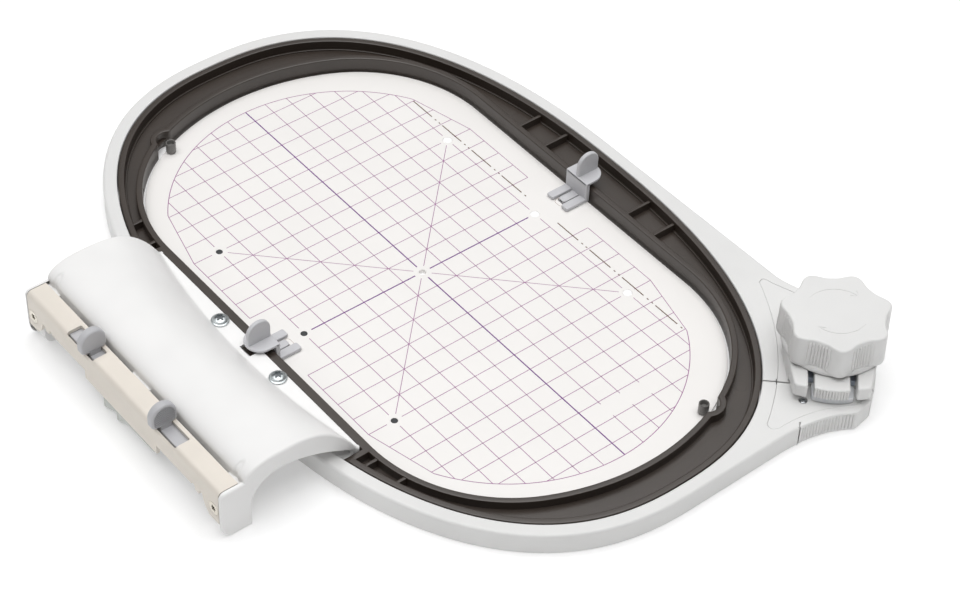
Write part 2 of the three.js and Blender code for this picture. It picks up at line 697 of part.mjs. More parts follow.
// Coupling cover

function archFoot(x) {
  return THREE.MathUtils.lerp(footAtMiddle, footAtEnd, (x / COUPLING_HALF_LENGTH) ** 2);
}

// Height of the arch's upper face at a depth in front of the ring
function archHeight(x, depth) {
  if (depth > archCrest) {
    const share = Math.min((depth - archCrest) / (archBack - archCrest), 1);
    return RAIL_TOP + (ARCH_TOP - RAIL_TOP) * (1 - share ** ARCH_BACK_POWER) ** (1 / ARCH_BACK_POWER);
  }
  const endShare = (x / COUPLING_HALF_LENGTH) ** 2;
  const power = THREE.MathUtils.lerp(FOOT_POWER_AT_MIDDLE, FOOT_POWER_AT_END, endShare);
  const rest = (archCrest - depth) / (archCrest - archFoot(x));
  return RING_HEIGHT + (ARCH_TOP - RING_HEIGHT) * (1 - rest ** power);
}

// Depths from foot to back, close together where the arch bends most
function archDepths(from, to) {
  const depths = [];
  for (let step = 0; step <= ARCH_STEPS; step += 1) {
    depths.push(from + (archCrest - from) * (step / ARCH_STEPS) ** 1.4);
  }
  for (let step = 1; step <= ARCH_STEPS; step += 1) {
    depths.push(archCrest + (to - archCrest) * Math.sin((Math.PI / 2) * (step / ARCH_STEPS)));
  }
  return depths;
}

function archTop(x) {
  return archDepths(archFoot(x), archBack).map((depth) => [-depth, archHeight(x, depth)]);
}

function shellSection(x) {
  const under = archDepths(archFoot(x), archBack - ARCH_SHELL).map(
    (depth) => [-depth, Math.max(archHeight(x, depth) - ARCH_SHELL, flangeBottom)]);
  return [
    ...archTop(x),
    [-archBack, ARCH_WALL_BOTTOM],
    [-archBack + ARCH_SHELL, ARCH_WALL_BOTTOM],
    ...under.reverse(),
  ];
}

// The cheek's vault is lower than the shell and ends in a leg
function cheekSection(x) {
  const rise = CHEEK_VAULT_TOP - RING_HEIGHT;
  const vault = [];
  for (let step = 0; step <= ARCH_STEPS; step += 1) {
    const depth = vaultFoot + (vaultCrest - vaultFoot) * (step / ARCH_STEPS);
    const rest = (vaultCrest - depth) / (vaultCrest - vaultFoot);
    vault.push([-depth, RING_HEIGHT + rise * (1 - rest ** 1.7)]);
  }
  const round = legInner - vaultCrest;
  for (let step = 1; step <= ARCH_STEPS; step += 1) {
    const angle = (Math.PI / 2) * (step / ARCH_STEPS);
    vault.push([-vaultCrest - round * Math.sin(angle), RING_HEIGHT + rise * Math.cos(angle)]);
  }
  return [
    ...archTop(x),
    [-archBack, 0],
    [-legInner, 0],
    ...vault.reverse(),
    [-vaultFoot, flangeBottom],
    [-archFoot(x), flangeBottom],
  ];
}

// Skin over equal-length (y, z) sections at rising x stations, closed at both ends
function loft(sections, stations) {
  const size = sections[0].length;
  const positions = sections.flatMap((section, row) => section.flatMap(([y, z]) => [stations[row], y, z]));
  const index = [];
  for (let row = 0; row + 1 < sections.length; row += 1) {
    for (let step = 0; step < size; step += 1) {
      const a = row * size + step;
      const b = row * size + (step + 1) % size;
      index.push(a, b, b + size, a, b + size, a + size);
    }
  }
  const last = (sections.length - 1) * size;
  const cap = (section) => THREE.ShapeUtils.triangulateShape(
    section.map(([y, z]) => new THREE.Vector2(y, z)), []);
  for (const [a, b, c] of cap(sections[0])) index.push(a, c, b);
  for (const [a, b, c] of cap(sections.at(-1))) index.push(last + a, last + b, last + c);
  const geometry = new THREE.BufferGeometry();
  geometry.setAttribute('position', new THREE.BufferAttribute(new Float32Array(positions), 3));
  geometry.setIndex(index);
  return solid(geometry);
}

// Side view of the leg that carries the rail, up to a front face and a top
function legOutline(front, top, corner) {
  const shape = new THREE.Shape();
  shape.moveTo(-legInner, 0);
  shape.lineTo(-legInner, top);
  shape.lineTo(-front + corner, top);
  shape.quadraticCurveTo(-front, top, -front, top - corner);
  shape.lineTo(-front, LEG_CORNER);
  shape.quadraticCurveTo(-front, 0, -legSole, 0);
  return shape;
}

function flangePlate() {
  const outline = [[-COUPLING_HALF_LENGTH, -flangeEdge]];
  for (let step = 0; step <= ARCH_STATIONS; step += 1) {
    const x = COUPLING_HALF_LENGTH * ((2 * step) / ARCH_STATIONS - 1);
    outline.push([x, -archFoot(x) - FLANGE_OVERLAP]);
  }
  outline.push([COUPLING_HALF_LENGTH, -flangeEdge]);
  const notch = block([-NOTCH_HALF_WIDTH, NOTCH_HALF_WIDTH],
    [-flangeEdge + 1, -flangeEdge - NOTCH_DEPTH], [0, RING_HEIGHT + 1]);
  return prism(polygon(outline), flangeBottom, RING_HEIGHT).subtract(notch);
}

function couplingCover() {
  const stations = [];
  for (let step = 0; step <= ARCH_STATIONS; step += 1) {
    stations.push(cheekInner * ((2 * step) / ARCH_STATIONS - 1));
  }
  const back = [-archBack + ARCH_SHELL / 2, -shelfFront];
  const pieces = [
    loft(stations.map(shellSection), stations),
    flangePlate(),
    block([-STOP_HALF_WIDTH, STOP_HALF_WIDTH], back, [ARCH_WALL_BOTTOM, sliderTop]),
  ];
  const bores = [];
  for (const side of [-1, 1]) {
    const ends = spanOn(side, COUPLING_HALF_LENGTH - CHEEK_WIDTH, COUPLING_HALF_LENGTH);
    const rim = spanOn(side, COUPLING_HALF_LENGTH - CHEEK_RIM, COUPLING_HALF_LENGTH);
    const leg = spanOn(side, COUPLING_HALF_LENGTH - LEG_WIDTH, COUPLING_HALF_LENGTH);
    pieces.push(
      loft(ends.map(cheekSection), ends),
      prism(legOutline(railFront, RAIL_TOP, RAIL_BEND), ...rim, alongX),
      prism(legOutline(railFront - RAIL_SHEET - SEAT_GAP, railUnderside - SEAT_GAP, 1), ...leg, alongX),
      block([side * (SLOT_INNER - SEAT_GAP), side * shelfOuter], back, [ARCH_WALL_BOTTOM, shelfTop]));
    bores.push(
      drum(side * RING_SCREW_X, ringScrewY, SCREW_SHANK + SEAT_GAP, 0, RING_HEIGHT + CUT_MARGIN),
      drum(side * railScrewX, RAIL_SCREW_Z, SCREW_SHANK + SEAT_GAP,
        railFront - SCREW_LENGTH - SEAT_GAP, railFront, alongMinusY));
  }
  const spigot = alongXPin(-STOP_HALF_WIDTH - STOP_SPIGOT, STOP_HALF_WIDTH + STOP_SPIGOT);
  return without(union([...pieces, spigot]), bores);
}

// Round pin on the spring axis
function alongXPin(from, to) {
  return drum(springAxisY, springAxisZ, SPIGOT_RADIUS, Math.min(from, to), Math.max(from, to), alongX, 16);
}

// Rail

function couplingRail() {
  const bendCentre = railFront - RAIL_BEND;
  const profile = new THREE.Shape();
  profile.moveTo(-railBack, railUnderside);
  profile.lineTo(-railBack, RAIL_TOP);
  profile.absarc(-bendCentre, RAIL_TOP - RAIL_BEND, RAIL_BEND, Math.PI / 2, Math.PI, false);
  profile.lineTo(-railFront, RAIL_EDGE_TONGUE);
  profile.lineTo(-railFront + RAIL_SHEET, RAIL_EDGE_TONGUE);
  profile.absarc(-bendCentre, RAIL_TOP - RAIL_BEND, RAIL_BEND - RAIL_SHEET, Math.PI, Math.PI / 2, true);
  const half = COUPLING_HALF_LENGTH - CHEEK_RIM - SEAT_GAP;
  const sheet = [-railFront - 1, -railFront + RAIL_SHEET + 1];
  const cuts = [block([-RAIL_MIDDLE_HALF, RAIL_MIDDLE_HALF], sheet, [0, RAIL_EDGE_MIDDLE])];
  for (const side of [-1, 1]) {
    cuts.push(
      block([side * RAIL_MIDDLE_HALF, side * railTongueStart], sheet, [0, RAIL_EDGE_SIDE]),
      block([side * SLOT_INNER, side * SLOT_OUTER], [-slotBack, -slotFront], [shelfTop, RAIL_TOP + 1]),
      railScrew(side, SEAT_GAP));
  }
  return without(prism(profile, -half, half, alongX), cuts);
}

// Levers and springs

function releaseLever(side) {
  const thumbInner = SLOT_INNER + SEAT_GAP + LEVER_TRAVEL;
  const thumb = spanOn(side, thumbInner, thumbInner + LEVER_THUMB);
  const radius = LEVER_WIDTH / 2;
  const face = new THREE.Shape();
  face.moveTo(-leverCentre - radius, RAIL_TOP + LEVER_LIFT);
  face.lineTo(-leverCentre + radius, RAIL_TOP + LEVER_LIFT);
  face.absarc(-leverCentre, LEVER_TOP - radius, radius, 0, Math.PI, false);
  const neck = [-slotBack - SEAT_GAP, -sliderFront];
  return union([
    prism(face, ...thumb, alongX),
    block(thumb, neck, [sliderTop - 1, RAIL_TOP + LEVER_LIFT + 1]),
    block([side * SLIDER_INNER, side * (SLIDER_INNER + SLIDER_LENGTH)],
      [-sliderBack, -sliderFront], [sliderBottom, sliderTop]),
    alongXPin(side * (SLIDER_INNER - SLIDER_SPIGOT), side * (SLIDER_INNER + 1)),
  ]);
}

class SpringCurve extends THREE.Curve {
  constructor(from, to) {
    super();
    this.from = from;
    this.to = to;
  }

  getPoint(share, target = new THREE.Vector3()) {
    const turn = 2 * Math.PI * SPRING_TURNS * share;
    return target.set(
      THREE.MathUtils.lerp(this.from, this.to, share),
      springAxisY + SPRING_RADIUS * Math.cos(turn),
      springAxisZ + SPRING_RADIUS * Math.sin(turn));
  }
}

// Least free space between the spring's turns, measured on points half a turn or more apart
function leastSpringGap(path) {
  const halfTurn = SPRING_STEPS_PER_TURN / 2;
  const points = path.getPoints(SPRING_TURNS * SPRING_STEPS_PER_TURN);
  let least = Infinity;
  for (let first = 0; first < points.length; first += 1) {
    for (let second = first + halfTurn; second < points.length; second += 1) {
      least = Math.min(least, points[first].distanceTo(points[second]));
    }
  }
  return least - 2 * SPRING_WIRE;
}

function leverSpring(side) {
  const room = SEAT_GAP + SPRING_WIRE;
  const path = new SpringCurve(side * (STOP_HALF_WIDTH + room), side * (SLIDER_INNER - room));
  console.log(`spring at side ${side}: least gap ${leastSpringGap(path).toFixed(2)} mm`);
  const wire = new THREE.Shape(new THREE.EllipseCurve(0, 0, SPRING_WIRE, SPRING_WIRE)
    .getPoints(SPRING_SIDES).slice(0, SPRING_SIDES));
  return solid(new THREE.ExtrudeGeometry(wire, {
    steps: SPRING_TURNS * SPRING_STEPS_PER_TURN,
    bevelEnabled: false,
    extrudePath: path,
  }));
}

// Stepped plate below the rail: two teeth and a sloping end
function codeTab() {
  const [left, firstTooth, secondTooth, toothEnd, rampStart, right] = CODE_TAB_EDGES;
  const outline = polygon([
    [left, CODE_TAB_TOP],
    [left, CODE_TAB_TOE],
    [firstTooth, CODE_TAB_STEP],
    [secondTooth, CODE_TAB_TOE],
    [toothEnd, CODE_TAB_STEP],
    [rampStart, CODE_TAB_STEP],
    [right, CODE_TAB_SHOULDER],
    [right, CODE_TAB_TOP],
  ]);
  const back = shelfFront + SEAT_GAP;
  return prism(outline, back, back + CODE_TAB_THICKNESS, alongMinusY);
}

// Screws

function ringScrew(side) {
  const place = new THREE.Matrix4().makeTranslation(side * RING_SCREW_X, ringScrewY, seatOnEar);
  return turned([
    [0, -SCREW_LENGTH],
    [SCREW_SHANK, -SCREW_LENGTH],
    [SCREW_SHANK, 0],
    [RING_SCREW_HEAD, 0],
    [RING_SCREW_HEAD, RING_SCREW_RISE * 0.45],
    [RING_SCREW_HEAD * 0.75, RING_SCREW_RISE * 0.85],
    [RING_SCREW_HEAD * 0.4, RING_SCREW_RISE],
    [0, RING_SCREW_RISE],
  ], place);
}

// Countersunk screw flush with the rail's front; grown by a clearance it makes its own hole
function railScrew(side, clearance) {
  const place = new THREE.Matrix4()
    .makeTranslation(side * railScrewX, 0, RAIL_SCREW_Z)
    .multiply(new THREE.Matrix4().makeRotationX(Math.PI / 2));
  return turned([
    [0, railFront - SCREW_LENGTH],
    [SCREW_SHANK + clearance, railFront - SCREW_LENGTH],
    [SCREW_SHANK + clearance, railFront - RAIL_SHEET],
    [RAIL_SCREW_HEAD + clearance, railFront],
    [RAIL_SCREW_HEAD + clearance, railFront + clearance],
    [0, railFront + clearance],
  ].filter(([, height], row, rows) => row !== rows.length - 2 || height > railFront), place);
}

// Clamp pieces

function clampYoke() {
  const left = YOKE_MIDDLE - YOKE_FRONT_HALF;
  const right = YOKE_MIDDLE + YOKE_FRONT_HALF;
  const slotLeft = YOKE_MIDDLE - YOKE_SLOT_HALF;
  const slotRight = YOKE_MIDDLE + YOKE_SLOT_HALF;
  const plan = new THREE.Shape();
  plan.moveTo(left + ARM_CORNER, YOKE_FRONT);
  plan.lineTo(slotLeft, YOKE_FRONT);
  plan.lineTo(slotLeft, YOKE_SLOT_END);
  plan.lineTo(slotRight, YOKE_SLOT_END);
  plan.lineTo(slotRight, YOKE_FRONT);
  plan.lineTo(right - ARM_CORNER, YOKE_FRONT);
  plan.lineTo(right, YOKE_FRONT + ARM_CORNER);
  plan.absarc(YOKE_MIDDLE, 0, YOKE_BACK_RADIUS, 0, Math.PI, false);
  plan.lineTo(left, YOKE_FRONT + ARM_CORNER);
  const farEar = SPLIT_OFFSET + RING_SPLIT / 2 + SEAT_GAP;
  const floorTop = seatOnEar + YOKE_FLOOR;
  const floor = block([slotLeft - 1, slotRight + 1], [farEar, YOKE_SLOT_END + 1], [seatOnEar, floorTop]);
  const underArms = block([-FAR_AWAY, FAR_AWAY], [-FAR_AWAY, farEar], [0, floorTop]);
  const bore = drum(YOKE_MIDDLE, 0, AXLE_RADIUS + SEAT_GAP, 0, yokeTop);
  return without(prism(plan, seatOnEar, yokeTop).add(floor), [underArms, bore]);
}

function knobAxle() {
  return turned([
    [0, AXLE_HEAD_BOTTOM],
    [AXLE_HEAD, AXLE_HEAD_BOTTOM],
    [AXLE_HEAD, AXLE_HEAD_BOTTOM + AXLE_HEAD_HEIGHT],
    [AXLE_RADIUS, AXLE_HEAD_BOTTOM + AXLE_HEAD_HEIGHT],
    [AXLE_RADIUS, AXLE_TOP],
    [0, AXLE_TOP],
  ]);
}

// Plan of a block with a front rounded about the knob axis
function roundFront(radius, left, right, back) {
  const start = Math.PI + Math.acos(-left / radius);
  const end = 2 * Math.PI - Math.acos(right / radius);
  const plan = new THREE.Shape();
  plan.moveTo(left, back);
  plan.absarc(0, 0, radius, start, end, false);
  plan.lineTo(right, back);
  return plan;
}

function anchorLug() {
  const plan = roundFront(DRAW_FRONT_RADIUS - LUG_SETBACK, LUG_LEFT, LUG_RIGHT, LUG_BACK);
  return prism(plan, seatOnEar, seatOnEar + LUG_HEIGHT);
}

function drawBlock() {
  const innerX = CAM_RADIUS + CAM_THROW + SEAT_GAP;
  const innerY = CAM_RADIUS + EYE_PLAY;
  const eye = (grow, bottom, top) => block(
    [-innerX - grow, innerX + grow], [CAM_THROW - innerY - grow, CAM_THROW + innerY + grow], [bottom, top]);
  const plan = roundFront(DRAW_FRONT_RADIUS, DRAW_ARM_LEFT, DRAW_ARM_RIGHT, CAM_THROW);
  const arm = prism(plan, drawBottom, drawTop);
  const grooves = [];
  const start = Math.acos(DRAW_ARM_RIGHT / DRAW_FRONT_RADIUS);
  const end = Math.acos(DRAW_ARM_LEFT / DRAW_FRONT_RADIUS);
  for (let groove = 0; groove < DRAW_GROOVES; groove += 1) {
    const angle = start + (end - start) * ((groove + 0.5) / DRAW_GROOVES);
    grooves.push(drum(DRAW_FRONT_RADIUS * Math.cos(angle), -DRAW_FRONT_RADIUS * Math.sin(angle),
      GROOVE_RADIUS * 0.8, drawBottom - 1, drawTop + 1, null, 8));
  }
  return without(arm.add(eye(EYE_WALL, drawBottom, drawTop)), [eye(0, 0, yokeTop), ...grooves]);
}

function knobCam() {
  return drum(0, CAM_THROW, CAM_RADIUS, drawBottom, knobBottom - SEAT_GAP)
    .subtract(drum(0, 0, AXLE_RADIUS + SEAT_GAP, 0, KNOB_TOP));
}

function twistKnob() {
  const points = [];
  const count = KNOB_LOBES * KNOB_STEPS_PER_LOBE;
  for (let step = 0; step < count; step += 1) {
    const angle = (2 * Math.PI * step) / count;
    const crest = (1 + Math.cos(KNOB_LOBES * angle)) / 2;
    const radius = KNOB_VALLEY + KNOB_LOBE_RISE * crest ** KNOB_LOBE_POWER;
    points.push(new THREE.Vector2(
      radius * Math.cos(angle + KNOB_PHASE), radius * Math.sin(angle + KNOB_PHASE)));
  }
  const skirtBottom = knobBottom + KNOB_DISC_HEIGHT - KNOB_EDGE;
  const cap = new THREE.ExtrudeGeometry(new THREE.Shape(points), {
    depth: KNOB_TOP - skirtBottom - 2 * KNOB_EDGE,
    bevelThickness: KNOB_EDGE,
    bevelSize: KNOB_EDGE,
    bevelOffset: -KNOB_EDGE,
    bevelSegments: 3,
  });
  cap.translate(0, 0, skirtBottom + KNOB_EDGE);
  const disc = drum(0, 0, KNOB_DISC, knobBottom, knobBottom + 2 * KNOB_DISC_HEIGHT, null, 56);
  const bore = drum(0, 0, AXLE_RADIUS + SEAT_GAP, 0, AXLE_TOP + SEAT_GAP);
  return solid(cap).add(disc).subtract(bore);
}

function stopPin() {
  return drum(STOP_PIN.x, STOP_PIN.y, STOP_PIN_RADIUS, STOP_PIN_BOTTOM, STOP_PIN_TOP);
}

// Assembly

const hoop = new THREE.Group();
hoop.name = 'hoop';
const clamp = new THREE.Group();
clamp.name = 'clamp';
clamp.applyMatrix4(clampMatrix);
hoop.add(clamp);
const spindle = new THREE.Group();
spindle.name = 'spindle';
spindle.position.x = YOKE_MIDDLE;
clamp.add(spindle);

const panels = earPanels();
hoop.add(
  meshOf('outer_ring', outerRing(), WHITE_PLASTIC),
  meshOf('ear_grip', earGrip(), WHITE_PLASTIC),
  meshOf('inner_ring', innerRing(), DARK_PLASTIC),
  meshOf('template', template(), PRINTED_SHEET),
  meshOf('coupling_cover', couplingCover(), WHITE_PLASTIC),
  meshOf('coupling_rail', couplingRail(), RAIL_METAL),
  meshOf('code_tab', codeTab(), TAB_PLASTIC));
clamp.add(
  meshOf('ear_panel_far', panels.far, WHITE_PLASTIC),
  meshOf('ear_panel_near', panels.near, WHITE_PLASTIC),
  meshOf('clamp_yoke', clampYoke(), WHITE_PLASTIC),
  meshOf('stop_pin', stopPin(), ZINC_STEEL));
spindle.add(
  meshOf('knob_axle', knobAxle(), ZINC_STEEL),
  meshOf('anchor_lug', anchorLug(), WHITE_PLASTIC),
  meshOf('draw_block', drawBlock(), WHITE_PLASTIC),
  meshOf('knob_cam', knobCam(), GREY_PLASTIC),
  meshOf('twist_knob', twistKnob(), WHITE_PLASTIC));

for (const [end, side] of [['left', -1], ['right', 1]]) {
  hoop.add(
    meshOf(`release_lever_${end}`, releaseLever(side), GREY_PLASTIC),
    meshOf(`lever_spring_${end}`, leverSpring(side), ZINC_STEEL),
    meshOf(`ring_screw_${end}`, ringScrew(side), ZINC_STEEL),
    meshOf(`rail_screw_${end}`, railScrew(side, 0), ZINC_STEEL));
}

for (const [place, turn] of [['far', 0], ['near', Math.PI]]) {
  const clip = meshOf(`template_clip_${place}`, templateClip(), GREY_PLASTIC);
  clip.rotation.z = turn;
  hoop.add(clip);
}

const [pegRight, pegLeft] = recessPlaces(PEG_INSET);
hoop.add(
  meshOf('template_peg_right', templatePeg(pegRight), GREY_PLASTIC),
  meshOf('template_peg_left', templatePeg(pegLeft), GREY_PLASTIC));

// The origin lies under the middle of the whole part, on the table
const bounds = new THREE.Box3().setFromObject(hoop, true);
const middle = bounds.getCenter(new THREE.Vector3());
hoop.position.set(-middle.x, -middle.y, -bounds.min.z);

const group = new THREE.Group();
group.add(hoop);
export default group;
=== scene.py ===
"""Looks of the machine embroidery hoop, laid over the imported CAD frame.

Shapes are drawn in millimetres in the hoop's own frame (the middle of the inner ring's opening) and
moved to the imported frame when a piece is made.
"""
import math

import bmesh
import bpy
import numpy as np
from mathutils import Matrix, Vector
from mathutils.geometry import tessellate_polygon


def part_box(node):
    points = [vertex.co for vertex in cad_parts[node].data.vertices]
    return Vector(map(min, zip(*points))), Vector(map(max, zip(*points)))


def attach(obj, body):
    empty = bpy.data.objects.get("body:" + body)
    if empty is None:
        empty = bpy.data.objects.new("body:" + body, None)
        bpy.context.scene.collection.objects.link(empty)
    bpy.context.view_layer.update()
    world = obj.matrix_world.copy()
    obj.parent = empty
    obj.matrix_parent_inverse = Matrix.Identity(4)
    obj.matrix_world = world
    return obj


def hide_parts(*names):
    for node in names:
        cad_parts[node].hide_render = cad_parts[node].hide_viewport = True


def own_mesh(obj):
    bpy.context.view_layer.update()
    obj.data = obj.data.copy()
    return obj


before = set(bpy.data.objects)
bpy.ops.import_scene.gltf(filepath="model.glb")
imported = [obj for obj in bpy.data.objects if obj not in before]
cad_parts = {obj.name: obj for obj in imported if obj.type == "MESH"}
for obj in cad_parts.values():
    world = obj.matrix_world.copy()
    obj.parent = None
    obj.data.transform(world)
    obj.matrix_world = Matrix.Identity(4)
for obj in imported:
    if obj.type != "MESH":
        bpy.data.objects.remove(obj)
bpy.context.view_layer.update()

MM = 0.001
low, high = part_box("template")
SHIFT = np.array([(low.x + high.x) / 2, (low.y + high.y) / 2, 0.0])
SIDES = (("left", -1), ("right", 1))

# Sizes that the part's source gives: rings and template
RING_HALF = np.array([156.2, 100.7])
RING_POWER = 2.42
RING_WIDTH = 6
RING_TOP = 9.8
PANEL_BED = 7.9
BRIDGE_BACK = 95.5
OPENING_END = 101
OPENING_CORNER = 66
OPENING_END_X = 38.0
OPENING_CORNER_Y = 15.5
INNER_GAP = 0.4
INNER_WALL = 2.7
INNER_TOP = 9.7
INNER_WALL_TOP = 8.8
RECESSES = [np.array([128.85, 36.91]), np.array([-125.99, -43.60])]
RECESS_INSIDE = 5.5
RECESS_OUTSIDE = 8.2
SHEET_BOTTOM = 0.5
SHEET_TOP = 2.0
PEGS = [np.array([128.28, 36.70]), np.array([-125.45, -43.33])]
CLIP_FOOT = 2.3
PLATE_BOTTOM = 11.0

# Clamp, in its own frame
CLAMP_ANGLE = math.radians(46.5)
CLAMP_CENTRE = np.array([140.3, 91.3])
CLAMP_TURN = np.array([[math.cos(CLAMP_ANGLE), math.sin(CLAMP_ANGLE)],
                       [-math.sin(CLAMP_ANGLE), math.cos(CLAMP_ANGLE)]])
SPLIT = -16.3
SPLIT_HALF = 0.4
EAR_TIP = 22
GRIP_START = -11.0
GRIP_DEPTH = 3.0
RIB_DEPTH = 0.75
STOP_PIN = (-9.6, -25.3)
KNOB_AXIS = (1.0, 0.0)
KNOB_PHASE = math.radians(-84.5)
KNOB_VALLEY = 19.2
KNOB_TOP = 35.0

# Machine coupling
HALF_COUPLING = 68.5
FLANGE_EDGE = 85.8
FLANGE_END = 91.4
FLANGE_BOTTOM = 7.2
ARCH_TOP = 31.0
ARCH_CREST = 122.6
ARCH_BACK = 138.6
ARCH_RIM = 66.8
COVER_WALL = 4
COVER_BOTTOM = 11.2
RAIL_TOP = 24.0
RAIL_FRONT = 149.3
THUMB_Y = -145.4
THUMB_Z = 28.6
SPRING_AXIS = (-144.0, 18.7)
RING_SCREW = (19.9, -89.7)
RAIL_SCREW = (63, 13.2)

# Print on the template, about its own middle
PRINT_SHIFT = np.array([-0.7, -2.6])
MARK_HOLES = [np.array([x, y]) for y in (-60, 60) for x in (-60, 0, 60)]
GRID = 10.0
FIELD_TOP = 72.5
FIELD_FLAT = 60
FIELD_CORNER_X, FIELD_CORNER_Y = 91.0, 64.8
FIELD_ARC = 75.8
FIELD_ARC_X = 51.7
BARE_X = (101.5, 109.0)
BARE_Y = (5.0, 37.0)
THIN_LINE = 0.30
BOLD_LINE = 0.55
DASH_Y = 64.2
DASH, DASH_PITCH = 13.5, 20.8
DOTS = (15.6, 18.4)


# Outlines and paths

def arc(centre, radius, start, end, steps):
    """Points on an arc, angles in degrees."""
    turn = np.radians(np.linspace(start, end, steps + 1))
    return np.c_[centre[0] + radius * np.cos(turn), centre[1] + radius * np.sin(turn)]


def circle(centre, radius, steps):
    return arc(centre, radius, 0, 360, steps)[:-1]


def bend(start, middle, end, steps):
    """Points on a quadratic curve."""
    share = np.linspace(0, 1, steps + 1)[:, None]
    start, middle, end = (np.asarray(point, float) for point in (start, middle, end))
    return (1 - share) ** 2 * start + 2 * share * (1 - share) * middle + share ** 2 * end


def unit(vectors):
    """Vectors brought to length one."""
    return vectors / np.maximum(np.linalg.norm(vectors, axis=-1, keepdims=True), 1e-9)


def left_of(runs):
    """Unit directions to the left of plan vectors."""
    return unit(np.c_[-runs[:, 1], runs[:, 0]])


def level(plan, height):
    """Plan points at one height."""
    return np.c_[plan, np.full(len(plan), height)]


def span(side, inner, outer):
    """A stretch of X on one side of the middle, lower end first."""
    return sorted((side * inner, side * outer))


def without_repeats(points, gap=1e-3):
    """A closed outline with doubled points left out."""
    points = np.asarray(points, float)
    return points[np.linalg.norm(points - np.roll(points, 1, 0), axis=1) > gap]


def anticlockwise(points):
    points = without_repeats(points)
    after = np.roll(points, -1, 0)
    area = np.sum(points[:, 0] * after[:, 1] - points[:, 1] * after[:, 0])
    return points if area > 0 else points[::-1]


def grown(points, distance):
    """An anticlockwise outline moved outwards, by one distance or one for each point."""
    after = -left_of(np.roll(points, -1, 0) - points)
    before = np.roll(after, 1, 0)
    spread = np.maximum(1 + np.sum(after * before, 1), 0.25)
    return points + np.reshape(distance / spread, (-1, 1)) * (after + before)


def path_lengths(path):
    """Distance of each point from a path's start."""
    return np.r_[0, np.cumsum(np.linalg.norm(np.diff(path, axis=0), axis=1))]


def even_spacing(points, spacing, closed=True):
    """Points at even steps along a path."""
    path = np.vstack([points, points[:1]]) if closed else np.asarray(points, float)
    length = path_lengths(path)
    count = max(int(round(length[-1] / spacing)), 3)
    places = np.linspace(0, length[-1], count + 1)
    places = places[:-1] if closed else places
    return np.c_[tuple(np.interp(places, length, column) for column in path.T)]


def softened(points, spacing, reach):
    """A closed outline with its corners eased over a reach along the path."""
    points = even_spacing(points, spacing)
    steps = np.arange(-int(3 * reach / spacing), int(3 * reach / spacing) + 1)
    weights = np.exp(-0.5 * (steps * spacing / reach) ** 2)
    weights /= weights.sum()
    return sum(weight * np.roll(points, -step, 0) for weight, step in zip(weights, steps))


def kept_side(points, line, sign=1):
    """A closed outline's part above a line of equal y, or below it where the sign is -1."""
    kept = []
    for here, after in zip(points, np.roll(points, -1, 0)):
        inside, next_inside = sign * (here[1] - line) >= 0, sign * (after[1] - line) >= 0
        if inside:
            kept.append(here)
        if inside != next_inside:
            kept.append(here + (line - here[1]) / (after[1] - here[1]) * (after - here))
    return np.array(kept)


def ribs(count, steps=10):
    """Places and heights of equal round ribs with sharp grooves; places count in pitches."""
    places = np.arange(count * steps + 1) / steps
    return places, np.abs(np.sin(math.pi * places))


def round_box(x0, x1, y0, y1, radius):
    """A rectangle with round corners."""
    corners = [(x1 - radius, y0 + radius, -90), (x1 - radius, y1 - radius, 0),
               (x0 + radius, y1 - radius, 90), (x0 + radius, y0 + radius, 180)]
    return np.vstack([arc((x, y), radius, turn, turn + 90, 5) for x, y, turn in corners])


def filleted(corners, steps=8):
    """A closed outline from (x, y, radius) corners."""
    outline = []
    for number, (x, y, radius) in enumerate(corners):
        here = np.array([x, y], float)
        before = unit(np.array(corners[number - 1][:2]) - here)
        after = unit(np.array(corners[(number + 1) % len(corners)][:2]) - here)
        half = 0.5 * math.acos(np.clip(before @ after, -1, 1))
        if radius == 0:
            outline.append(here[None])
            continue
        centre = here + unit(before + after) * radius / math.sin(half)
        ends = [here + side * radius / math.tan(half) - centre for side in (before, after)]
        start, end = (math.degrees(math.atan2(run[1], run[0])) for run in ends)
        end = start + (end - start + 180) % 360 - 180
        outline.append(arc(centre, radius, start, end, steps))
    return np.vstack(outline)


def signed_power(values, power):
    return np.sign(values) * np.abs(values) ** power


def ring_outline(offset, start=0.0, end=360.0, steps=720):
    """The ring's bowed oval, moved outwards by an offset."""
    turn = np.radians(np.linspace(start, end, steps + 1))
    bow = signed_power(np.c_[np.cos(turn), np.sin(turn)], 2 / RING_POWER)
    outward = unit(signed_power(bow, RING_POWER - 1) / RING_HALF)
    return bow * RING_HALF + offset * outward


def opening_outline(offset, steps=48):
    """The inner ring's opening: end arcs, corner arcs and straight sides."""
    corner, end = OPENING_CORNER + offset, OPENING_END + offset
    x = OPENING_END_X + math.sqrt((end - corner) ** 2 - OPENING_CORNER_Y ** 2)
    y = OPENING_CORNER_Y
    turn = math.degrees(math.atan2(y, x - OPENING_END_X))
    return without_repeats(np.vstack([
        arc((OPENING_END_X, 0), end, -turn, turn, steps), arc((x, y), corner, turn, 90, steps),
        arc((-x, y), corner, 90, 180 - turn, steps),
        arc((-OPENING_END_X, 0), end, 180 - turn, 180 + turn, steps),
        arc((-x, -y), corner, 180 + turn, 270, steps),
        arc((x, -y), corner, 270, 360 - turn, steps)]))


def clamp_to_hoop(points):
    points = np.asarray(points, float)
    return np.c_[points[:, :2] @ CLAMP_TURN + CLAMP_CENTRE, points[:, 2:]]


def hoop_to_clamp(points):
    return (np.asarray(points, float) - CLAMP_CENTRE) @ CLAMP_TURN.T


def spindle_to_hoop(points):
    """From the knob's axis in the clamp to the hoop."""
    points = np.asarray(points, float)
    return clamp_to_hoop(points + np.r_[KNOB_AXIS, np.zeros(points.shape[1] - 2)])


